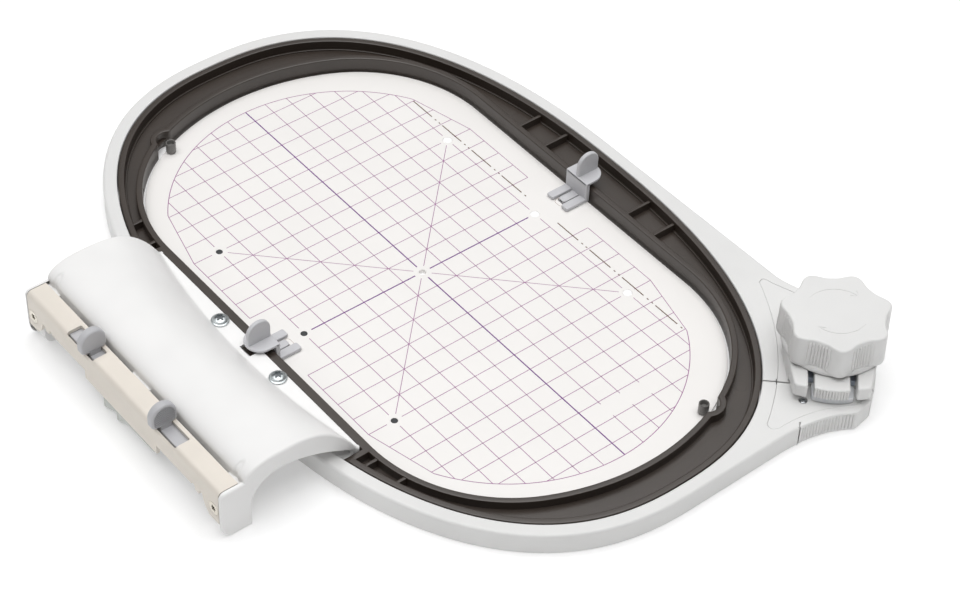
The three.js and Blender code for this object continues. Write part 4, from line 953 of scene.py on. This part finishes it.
def print_forms():
    """Ink of the grid with its border and diagonals, of the two axes and of the dashed line."""
    thin, bold, dashes = Form(), Form(), Form()
    gaps = [(hole, 3.6) for hole in MARK_HOLES] + [(np.zeros(2), 3.8)]

    def line(form, start, end, width, lift):
        for ends in pieces_outside(start, end, gaps):
            strip(form, ends, width, lift)

    for x in (GRID * step for step in range(-12, 13) if step):
        reach = 60.0 if abs(x) < 20 else field_half_height(x)
        line(thin, (x, -reach), (x, reach), THIN_LINE, 0.012)
    for y in (GRID * step for step in range(-6, 7) if step):
        reach = field_half_width(y)
        bare = BARE_X if BARE_Y[0] < y < BARE_Y[1] else ()
        stops = [-reach, *bare, reach]
        for left, right in zip(stops[::2], stops[1::2]):
            line(thin, (left, y), (right, y), THIN_LINE, 0.012)
    half = math.degrees(math.asin(FIELD_CORNER_Y / FIELD_ARC))
    for side in (-1, 1):
        for across in (-1, 1):
            border = np.array([(20, FIELD_TOP), (FIELD_FLAT, FIELD_TOP),
                               (FIELD_CORNER_X, FIELD_CORNER_Y)]) * (across, side)
            strip(thin, border[:2], THIN_LINE, 0.014)
            strip(thin, border[1:], THIN_LINE, 0.014)
            line(thin, (0, 0), (across * 60, side * 60), 0.28, 0.016)
        middle = 0 if side > 0 else 180
        strip(thin, arc((side * FIELD_ARC_X, 0), FIELD_ARC, middle - half, middle + half, 90),
              0.34, 0.014)
    line(bold, (-127.5, 0), (127.5, 0), BOLD_LINE, 0.018)
    line(bold, (0, -57), (0, 57), BOLD_LINE, 0.018)
    for place, end in ((-90.0, -11.0), (10.0, 91.0)):
        while place < end:
            strokes = [(place, min(place + DASH, end))]
            strokes += [(place + dot, place + dot + 1.0) for dot in DOTS if place + dot + 1 < end]
            for left, right in strokes:
                strip(dashes, [(left, DASH_Y), (right, DASH_Y)], 0.5, 0.02)
            place += DASH_PITCH
    return thin, bold, dashes


for name, form, look in zip(("print_grid", "print_axes", "print_dashes"), print_forms(),
                            (thin_ink, bold_ink, dash_ink)):
    piece(name, form, look, "sheet")

PEG_TUBE = [(1.2, SHEET_BOTTOM), (1.2, 2.3), (2.0, 2.3), (2.2, 2.5), (2.2, 6.9), (2.1, 7.18),
            (1.95, 7.3), (1.75, 7.2), (1.65, 6.9), (1.6, 5.2), (0.3, 5.1)]
for name, place in zip(("right", "left"), PEGS):
    piece(f"template_peg_{name}_tube", Form().lathe(PEG_TUBE, place, 40), peg_grey, "sheet",
          [f"template_peg_{name}"], crease=50)


def clip_form(turned):
    """Snap clip: prongs and tongue on the sheet, web, round plate and thumb tab."""
    def place(points):
        return points * np.array([-1, -1, 1]) if turned else points

    def stand(points):
        return place(along_x(points))

    plate_top = PLATE_BOTTOM + 1.2
    tab_top = plate_top + 10.2
    plate = np.vstack([arc((5.9, 80.0), 0.8, -90, 0, 3), arc((0, 84.1), 6.7, 0, 180, 40),
                       arc((-5.9, 80.0), 0.8, 180, 270, 3)])
    tab_side = np.vstack([[(79.6, PLATE_BOTTOM + 0.5), (90.4, PLATE_BOTTOM + 0.5)],
                          arc((85.0, tab_top - 5.4), 5.4, 0, 180, 40)])
    form = Form()
    form.prism([plate], PLATE_BOTTOM, plate_top, edges=(0.3, 0.35), place=place)
    form.prism([round_box(-6.7, 6.7, 79.2, 81.2, 0.35)], CLIP_FOOT, plate_top - 0.02,
               edges=(0.2, 0.35), place=place)
    form.prism([tab_side], -0.95, 0.95, edges=0.5, place=stand, steps=4)
    form.prism([round_box(-1.9, 1.9, 71.2, 80.0, 1.2)], CLIP_FOOT, 3.3, edges=(0.05, 0.3),
               place=place)
    form.prism([round_box(-1.9, 1.9, 71.2, 73.8, 1.2)], SHEET_BOTTOM, 3.0, edges=0.1, place=place)
    for side in (-1, 1):
        form.prism([round_box(*span(side, 2.7, 6.7), 68.8, 80.2, 0.9)], CLIP_FOOT, 3.8,
                   edges=(0.1, 0.45), place=place, steps=4)
    return form


for name, turned in (("far", False), ("near", True)):
    rim = [round_box(-2.55, 2.55, 69.0, 75.0, 1.6), round_box(-2.3, 2.3, 69.25, 74.75, 1.4)]
    rim = [outline * (-1 if turned else 1) for outline in rim]
    rim_form = Form().prism(rim, 1.9, SHEET_TOP + 0.05, edges=(0, 0.02))
    piece(f"template_window_rim_{name}", rim_form, window_ink, "sheet")
    piece(f"template_clip_{name}_snap", clip_form(turned), grey, "sheet", [f"template_clip_{name}"])


# Coupling cover

def arch_foot(x):
    """Depth at which the arch rises from the flange."""
    return 93.9 + (86.8 - 93.9) * (x / HALF_COUPLING) ** 2


def arch_front_heights(x, depths):
    """Upper face from the flange's edge to the crest, with the fold at the foot eased."""
    step, ease = 0.1, 0.45
    fine = np.arange(78.0, ARCH_CREST + 6, step)
    power = 1.9 + 1.2 * (x / HALF_COUPLING) ** 2
    rest = np.clip((ARCH_CREST - fine) / (ARCH_CREST - arch_foot(x)), 0, 1)
    heights = RING_TOP + (ARCH_TOP - RING_TOP) * (1 - rest ** power)
    weights = np.exp(-0.5 * (np.arange(-45, 46) * step / ease) ** 2)
    eased = np.convolve(heights, weights / weights.sum(), mode="same")
    heights = np.where((fine > 81) & (fine < 118), eased, heights)
    return np.interp(depths, fine, heights)


def groove_dent(x, points):
    """Two shallow round-ended grooves beside the rail's ends."""
    distance = np.hypot(abs(abs(x) - 62.4), np.maximum(points[:, 1] - 27.6, 0))
    depth = 0.24 * (1 - np.cos(math.pi * np.clip((1.7 - distance) / 0.9, 0, 1)))
    depth = np.where(points[:, 0] > 128, depth, 0)
    return left_of(np.gradient(points, axis=0)) * depth[:, None]


def arch_top(x, notched=False):
    """(depth, height) points of the upper face from the flange's edge to the rail."""
    flange = np.linspace(FLANGE_END if notched else FLANGE_EDGE, FLANGE_END, 9)
    front = np.r_[flange, np.linspace(FLANGE_END, ARCH_CREST, 64)[1:]]
    share = np.sin(np.linspace(0, math.pi / 2, 30))[1:]
    fall = (1 - share ** 2.2) ** (1 / 2.2)
    back = np.c_[ARCH_CREST + (ARCH_BACK - ARCH_CREST) * share,
                 RAIL_TOP + (ARCH_TOP - RAIL_TOP) * fall]
    points = np.vstack([np.c_[front, arch_front_heights(x, front)], back])
    return points - groove_dent(x, points)


def shell_section(x, notched=False):
    """Closed section of flange and arch, as hoop points."""
    top = arch_top(x, notched)
    edge = top[0, 0]
    lip = [(edge, FLANGE_BOTTOM), (edge, 9.3), (edge + 0.12, 9.62)]
    top[0, 0] += 0.35
    depths = np.linspace(ARCH_BACK - COVER_WALL, edge, 40)
    under = np.interp(depths, top[:, 0], top[:, 1]) - COVER_WALL
    under = np.c_[depths, np.clip(under, FLANGE_BOTTOM, 26.5)]
    foot = [(ARCH_BACK, COVER_BOTTOM), (ARCH_BACK - COVER_WALL, COVER_BOTTOM)]
    section = np.vstack([lip, top, foot, under[:-1]])
    return np.c_[np.full(len(section), x), -section[:, 0], section[:, 1]]


def cover_stations():
    """X stations from the left rim to the right one; the notch's sides come twice."""
    half = np.r_[np.linspace(3.5, 56, 40), np.linspace(56, ARCH_RIM, 54)[1:]]
    right = [(x, False) for x in half]
    left = [(-x, False) for x in half[::-1]]
    return left + [(-3.5, True), (0.0, True), (3.5, True)] + right


def rim_section(x, inset):
    """Closed section of an end cheek with its leg, drawn in by an inset."""
    top = arch_top(math.copysign(min(abs(x), HALF_COUPLING), x))
    start, crest, back, rise = 89.4, 122.0, 135.6, 12.4
    depths = np.linspace(start, crest, 30)
    turn = np.linspace(0, math.pi / 2, 20)[1:]
    front_rise = 1 - ((crest - depths) / (crest - start)) ** 1.7
    vault = np.vstack([
        np.c_[depths, RING_TOP + rise * front_rise],
        np.c_[crest + (back - crest) * np.sin(turn), RING_TOP + rise * np.cos(turn)]])
    leg = np.vstack([
        [(141.0, RAIL_TOP)], arc((RAIL_FRONT - 2.6, RAIL_TOP - 2.6), 2.6, 90, 0, 8),
        bend((RAIL_FRONT, 7), (RAIL_FRONT, 0), (143.5, 0), 12), [(back, 0)]])
    outline = np.vstack([[(FLANGE_EDGE, FLANGE_BOTTOM)], top, leg, vault[::-1],
                         [(start, FLANGE_BOTTOM)]]) * (-1, 1)
    shown = grown(outline, -inset) if inset else outline
    return np.c_[np.full(len(shown), x), shown]


def cover_form():
    """Flange and arch, two rounded end cheeks with legs, and the blocks behind the rail."""
    form = Form()
    form.skin([shell_section(x, notched) for x, notched in cover_stations()])
    edge = 1.1
    for side in (-1, 1):
        rows = [rim_section(side * ARCH_RIM, 0), rim_section(side * (HALF_COUPLING - edge), 0)]
        rows += [rim_section(side * (HALF_COUPLING - edge * (1 - math.sin(a))),
                             edge * (1 - math.cos(a)))
                 for a in np.linspace(0, math.pi / 2, 6)[1:]]
        form.skin(rows if side > 0 else rows[::-1])
        form.add(rows[-1], flat_faces([level(rows[-1][:, 1:], 0)], side > 0))
        cheek = rim_section(side * 66.0, 0.35)[:, 1:]
        form.prism([cheek[cheek[:, 0] > -138.3]], *span(side, 63.5, 67.3), edges=0.3, place=along_x)
        leg = np.vstack([[(-135.6, 0), (-135.6, 22.2)], arc((-146.3, 21.0), 1.2, 90, 180, 4),
                         bend((-147.5, 7), (-147.5, 0), (-143.5, 0), 8)])
        form.prism([leg], *span(side, 58.5, 67.2), edges=0.4, place=along_x)
        form.prism([round_box(*span(side, 18.7, 50), -145.5, -136.6, 0.5)], COVER_BOTTOM, 14.9)
    form.prism([round_box(-6, 6, -145.5, -136.6, 0.5)], COVER_BOTTOM, 22.2)
    form.prism([round_box(-9, 9, -145.4, -142.6, 0.3)], 17.3, 20.1)
    return form


piece("coupling_cover_arch", cover_form(), cover_white, "base", ["coupling_cover"], crease=32)


# Rail, levers, springs, code tab and screws

RAIL_TEETH = np.array([(25.0, -1), (25.0, 14.2), (48.8, 14.2), (49.3, 15.2), (50.5, 15.2),
                       (51.2, 12.8), (53.6, 12.8), (54.2, 15.0), (55.8, 15.0), (56.4, 12.0),
                       (57.8, 9.6), (60.0, 7.3), (62.0, 6.9), (62.0, -1)])


def rail_form():
    """Bent sheet: a top flange, a round fold and the front."""
    fold, sheet_wall = (-146.7, 21.4), 1.5
    profile = np.vstack([
        [(-140.2, RAIL_TOP - sheet_wall), (-140.2, RAIL_TOP)], arc(fold, 2.6, 90, 180, 12),
        [(-RAIL_FRONT, 7.2), (-RAIL_FRONT + sheet_wall, 7.2)], arc(fold, 1.1, 180, 90, 10)])
    return Form().prism([profile], -66.5, 66.5, edges=0, place=along_x)


def rail_cuts():
    """Middle step, teeth, lever slots and countersunk holes."""
    def through(outline):
        return Form().prism([outline], 146, 152, edges=0, place=along_minus_y)

    cuts = [through(round_box(-25.4, 25.4, 0, 9.8, 0.8))]
    for side in (-1, 1):
        slot = round_box(*span(side, 19, 37.8), -148.6, -141.9, 0.7)
        sink = [(1.8, 145), (1.8, 147.8), (3.2, 149.31), (3.2, 151)]
        cuts += [through(RAIL_TEETH * (side, 1)), Form().prism([slot], 14, 26, edges=0),
                 Form().lathe(sink, (side * RAIL_SCREW[0], RAIL_SCREW[1]), 48, along_minus_y)]
    return cuts


piece("coupling_rail_sheet", rail_form(), rail_metal, "base", ["coupling_rail"], rail_cuts(),
      soft_edge=0.18)


def lever_form(side):
    """Thumb piece with a soft rim and a ribbed outer face, its neck and slider."""
    def place(points):
        return along_x(points) * np.array([side, 1, 1])

    pitch, half_rib = 0.98, 0.21
    face = np.vstack([arc((-149.1, 26.0), 2.0, 180, 270, 6), arc((-141.7, 26.0), 2.0, 270, 360, 6),
                      arc((THUMB_Y, THUMB_Z), 5.7, 0, 180, 48)])
    field = grown(anticlockwise(face), -1.1)
    form = Form().prism([face], 22.6, 26.3, edges=0.9, place=place, steps=5,
                        pockets=[(field, 25.0)])
    for z in np.arange(25.6, 33.2, pitch):
        half = math.sqrt(4.6 ** 2 - max(z - THUMB_Z, 0) ** 2) + 0.1
        rib = round_box(THUMB_Y - half, THUMB_Y + half, z - half_rib, z + half_rib, 0.18)
        form.prism([rib], 24.8, 26.2, edges=(0, 0.15), place=place)
    form.prism([round_box(*span(side, 22.7, 26.2), -147.4, -142.2, 0.5)], 21.2, 24.8, edges=0.2)
    form.prism([round_box(*span(side, 20.0, 46.0), -147.4, -140.6, 0.6)], 15.2, 22.2, edges=0.4)
    return form.lathe([(1.5, x) for x in span(side, 15.0, 21.0)], SPRING_AXIS, 32, along_x)


def spring_form(side):
    """Helix of round wire."""
    turns, radius, wire = 6, 2.4, 0.4
    share = np.linspace(0, 1, turns * 40 + 1)
    turn = 2 * math.pi * turns * share
    start, end = side * 6.7, side * 19.3
    path = np.c_[start + (end - start) * share, SPRING_AXIS[0] + radius * np.cos(turn),
                 SPRING_AXIS[1] + radius * np.sin(turn)]
    run = unit(np.gradient(path, axis=0))
    out = np.c_[np.zeros(len(turn)), np.cos(turn), np.sin(turn)]
    out = unit(out - np.sum(out * run, 1)[:, None] * run)
    around = np.linspace(0, 2 * math.pi, 12, endpoint=False)
    rows = [point + wire * (np.cos(around)[:, None] * a + np.sin(around)[:, None] * b)
            for point, a, b in zip(path, out, np.cross(run, out))]
    return Form().skin(rows, capped=True)


# The levers' darker grey is painted shade
for name, side in SIDES:
    piece(f"release_lever_{name}_thumb", lever_form(side), lever_painted_shade_grey, f"lever_{name}",
          [f"release_lever_{name}"])

for name, side in SIDES:
    spring = piece(f"lever_spring_{name}_helix", spring_form(side), zinc, "base",
                   [f"lever_spring_{name}"])
    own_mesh(spring)

tab_outline = np.array([(-15.9, 14.6), (-15.9, 0.2), (-6.9, 4.5), (-6.5, 0.2), (0.4, 4.5),
                        (19.7, 4.5), (24, 10), (24, 14.6)])
tab_form = Form().prism([softened(anticlockwise(tab_outline), 0.12, 0.18)], 145.8, 147.4,
                        edges=0.25, place=along_minus_y)
piece("code_tab_plate", tab_form, tab, "base", ["code_tab"])


def lobe_socket(radius, depth_from, depth_to, centre, place=np.asarray):
    """Six-lobe drive recess, used to cut with and as its floor."""
    turn = np.linspace(0, 2 * math.pi, 96, endpoint=False)
    reach = radius * (0.8 + 0.2 * np.cos(6 * turn))
    outline = np.c_[centre[0] + reach * np.cos(turn), centre[1] + reach * np.sin(turn)]
    return Form().prism([outline], depth_from, depth_to, edges=0, place=place)


DOME = [(3.2 * math.sin(a), 10.7 + 1.5 * math.cos(a)) for a in np.linspace(math.pi / 2, 0.12, 9)]
PAN_HEAD = [(1.5, 3.6), (1.5, 10.1), (3.5, 10.1), (3.7, 10.25), (3.7, 10.45), (3.5, 10.6)] + DOME
FLAT_HEAD = [(1.5, 142.8), (1.5, 147.8), (2.9, 149.15), (2.95, 149.28)]

for name, side in SIDES:
    centre = (side * RING_SCREW[0], RING_SCREW[1])
    piece(f"ring_screw_{name}_head", Form().lathe(PAN_HEAD, centre, 64), zinc, "base",
          [f"ring_screw_{name}"], [lobe_socket(2.1, 10.9, 13, centre)], crease=40)
    # The sockets' near-black floors are painted shade in the drive recesses
    piece(f"ring_screw_{name}_socket", lobe_socket(2.06, 10.7, 11.0, centre), socket_painted_shade, "base")
    centre = (side * RAIL_SCREW[0], RAIL_SCREW[1])
    piece(f"rail_screw_{name}_head", Form().lathe(FLAT_HEAD, centre, 64, along_minus_y), nickel,
          "base", [f"rail_screw_{name}"], [lobe_socket(1.5, 148.2, 151, centre, along_minus_y)],
          crease=40)
    piece(f"rail_screw_{name}_socket", lobe_socket(1.46, 148.0, 148.3, centre, along_minus_y),
          socket_painted_shade, "base")

for node, look in (("knob_axle", pin_steel), ("knob_cam", grey)):
    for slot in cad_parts[node].material_slots:
        slot.material = look


# Floor, light and camera

def floor():
    """Wide pale paper that glows a little, so that it stays white round the part."""
    form = Form().prism([round_box(-4000, 4000, -4000, 4000, 100)], -10, -0.02, edges=0)
    ground = mesh_object("studio_floor", form)
    paper = surface("studio_floor_paper", None, (220, 4.0),
                    [(0.3, (0.79, 0.79, 0.79, 1)), (0.7, (0.81, 0.81, 0.81, 1))], (0.8, 0.9),
                    Emission_Color=(1, 1, 1, 1), Emission_Strength=0.26)
    ground.data.materials.append(paper)


def area_light(name, place, size, power):
    """A soft panel that faces the part."""
    lamp = bpy.data.lights.new(name, "AREA")
    lamp.shape = "RECTANGLE"
    lamp.size, lamp.size_y = size
    lamp.energy = power
    thing = bpy.data.objects.new(name, lamp)
    thing.location = place
    thing.rotation_euler = (Vector() - Vector(place)).to_track_quat("-Z", "Y").to_euler()
    bpy.context.scene.collection.objects.link(thing)


def studio():
    scene = bpy.context.scene
    world = bpy.data.worlds.new("studio")
    world.use_nodes = True
    sky = world.node_tree.nodes["Background"]
    sky.inputs["Color"].default_value = (1.0, 1.0, 1.0, 1)
    sky.inputs["Strength"].default_value = 0.18
    scene.world = world
    area_light("overhead", (0.0, 0.0, 2.6), (3.2, 3.2), 81)
    area_light("back_panel", (-1.2, 2.2, 2.1), (3.4, 2.8), 8)
    area_light("front_panel", (-0.5, -1.8, 2.6), (2.6, 2.2), 7)
    scene.view_settings.view_transform = "Standard"


def camera():
    """The photograph's camera, fitted to the template's printed grid."""
    lens = bpy.data.cameras.new("photo_camera")
    lens.sensor_width = 36.0
    lens.lens = 95.798
    lens.clip_start = 0.05
    thing = bpy.data.objects.new("photo_camera", lens)
    right = Vector((0.622811, 0.781746, 0.031294))
    up = Vector((-0.556759, 0.414754, 0.719721))
    back = Vector((0.549660, -0.465674, 0.693558))
    thing.matrix_world = Matrix((right, up, back)).transposed().to_4x4()
    thing.location = Vector((0.595446, -0.463851, 0.724897))
    bpy.context.scene.collection.objects.link(thing)
    bpy.context.scene.camera = thing


floor()
studio()
camera()
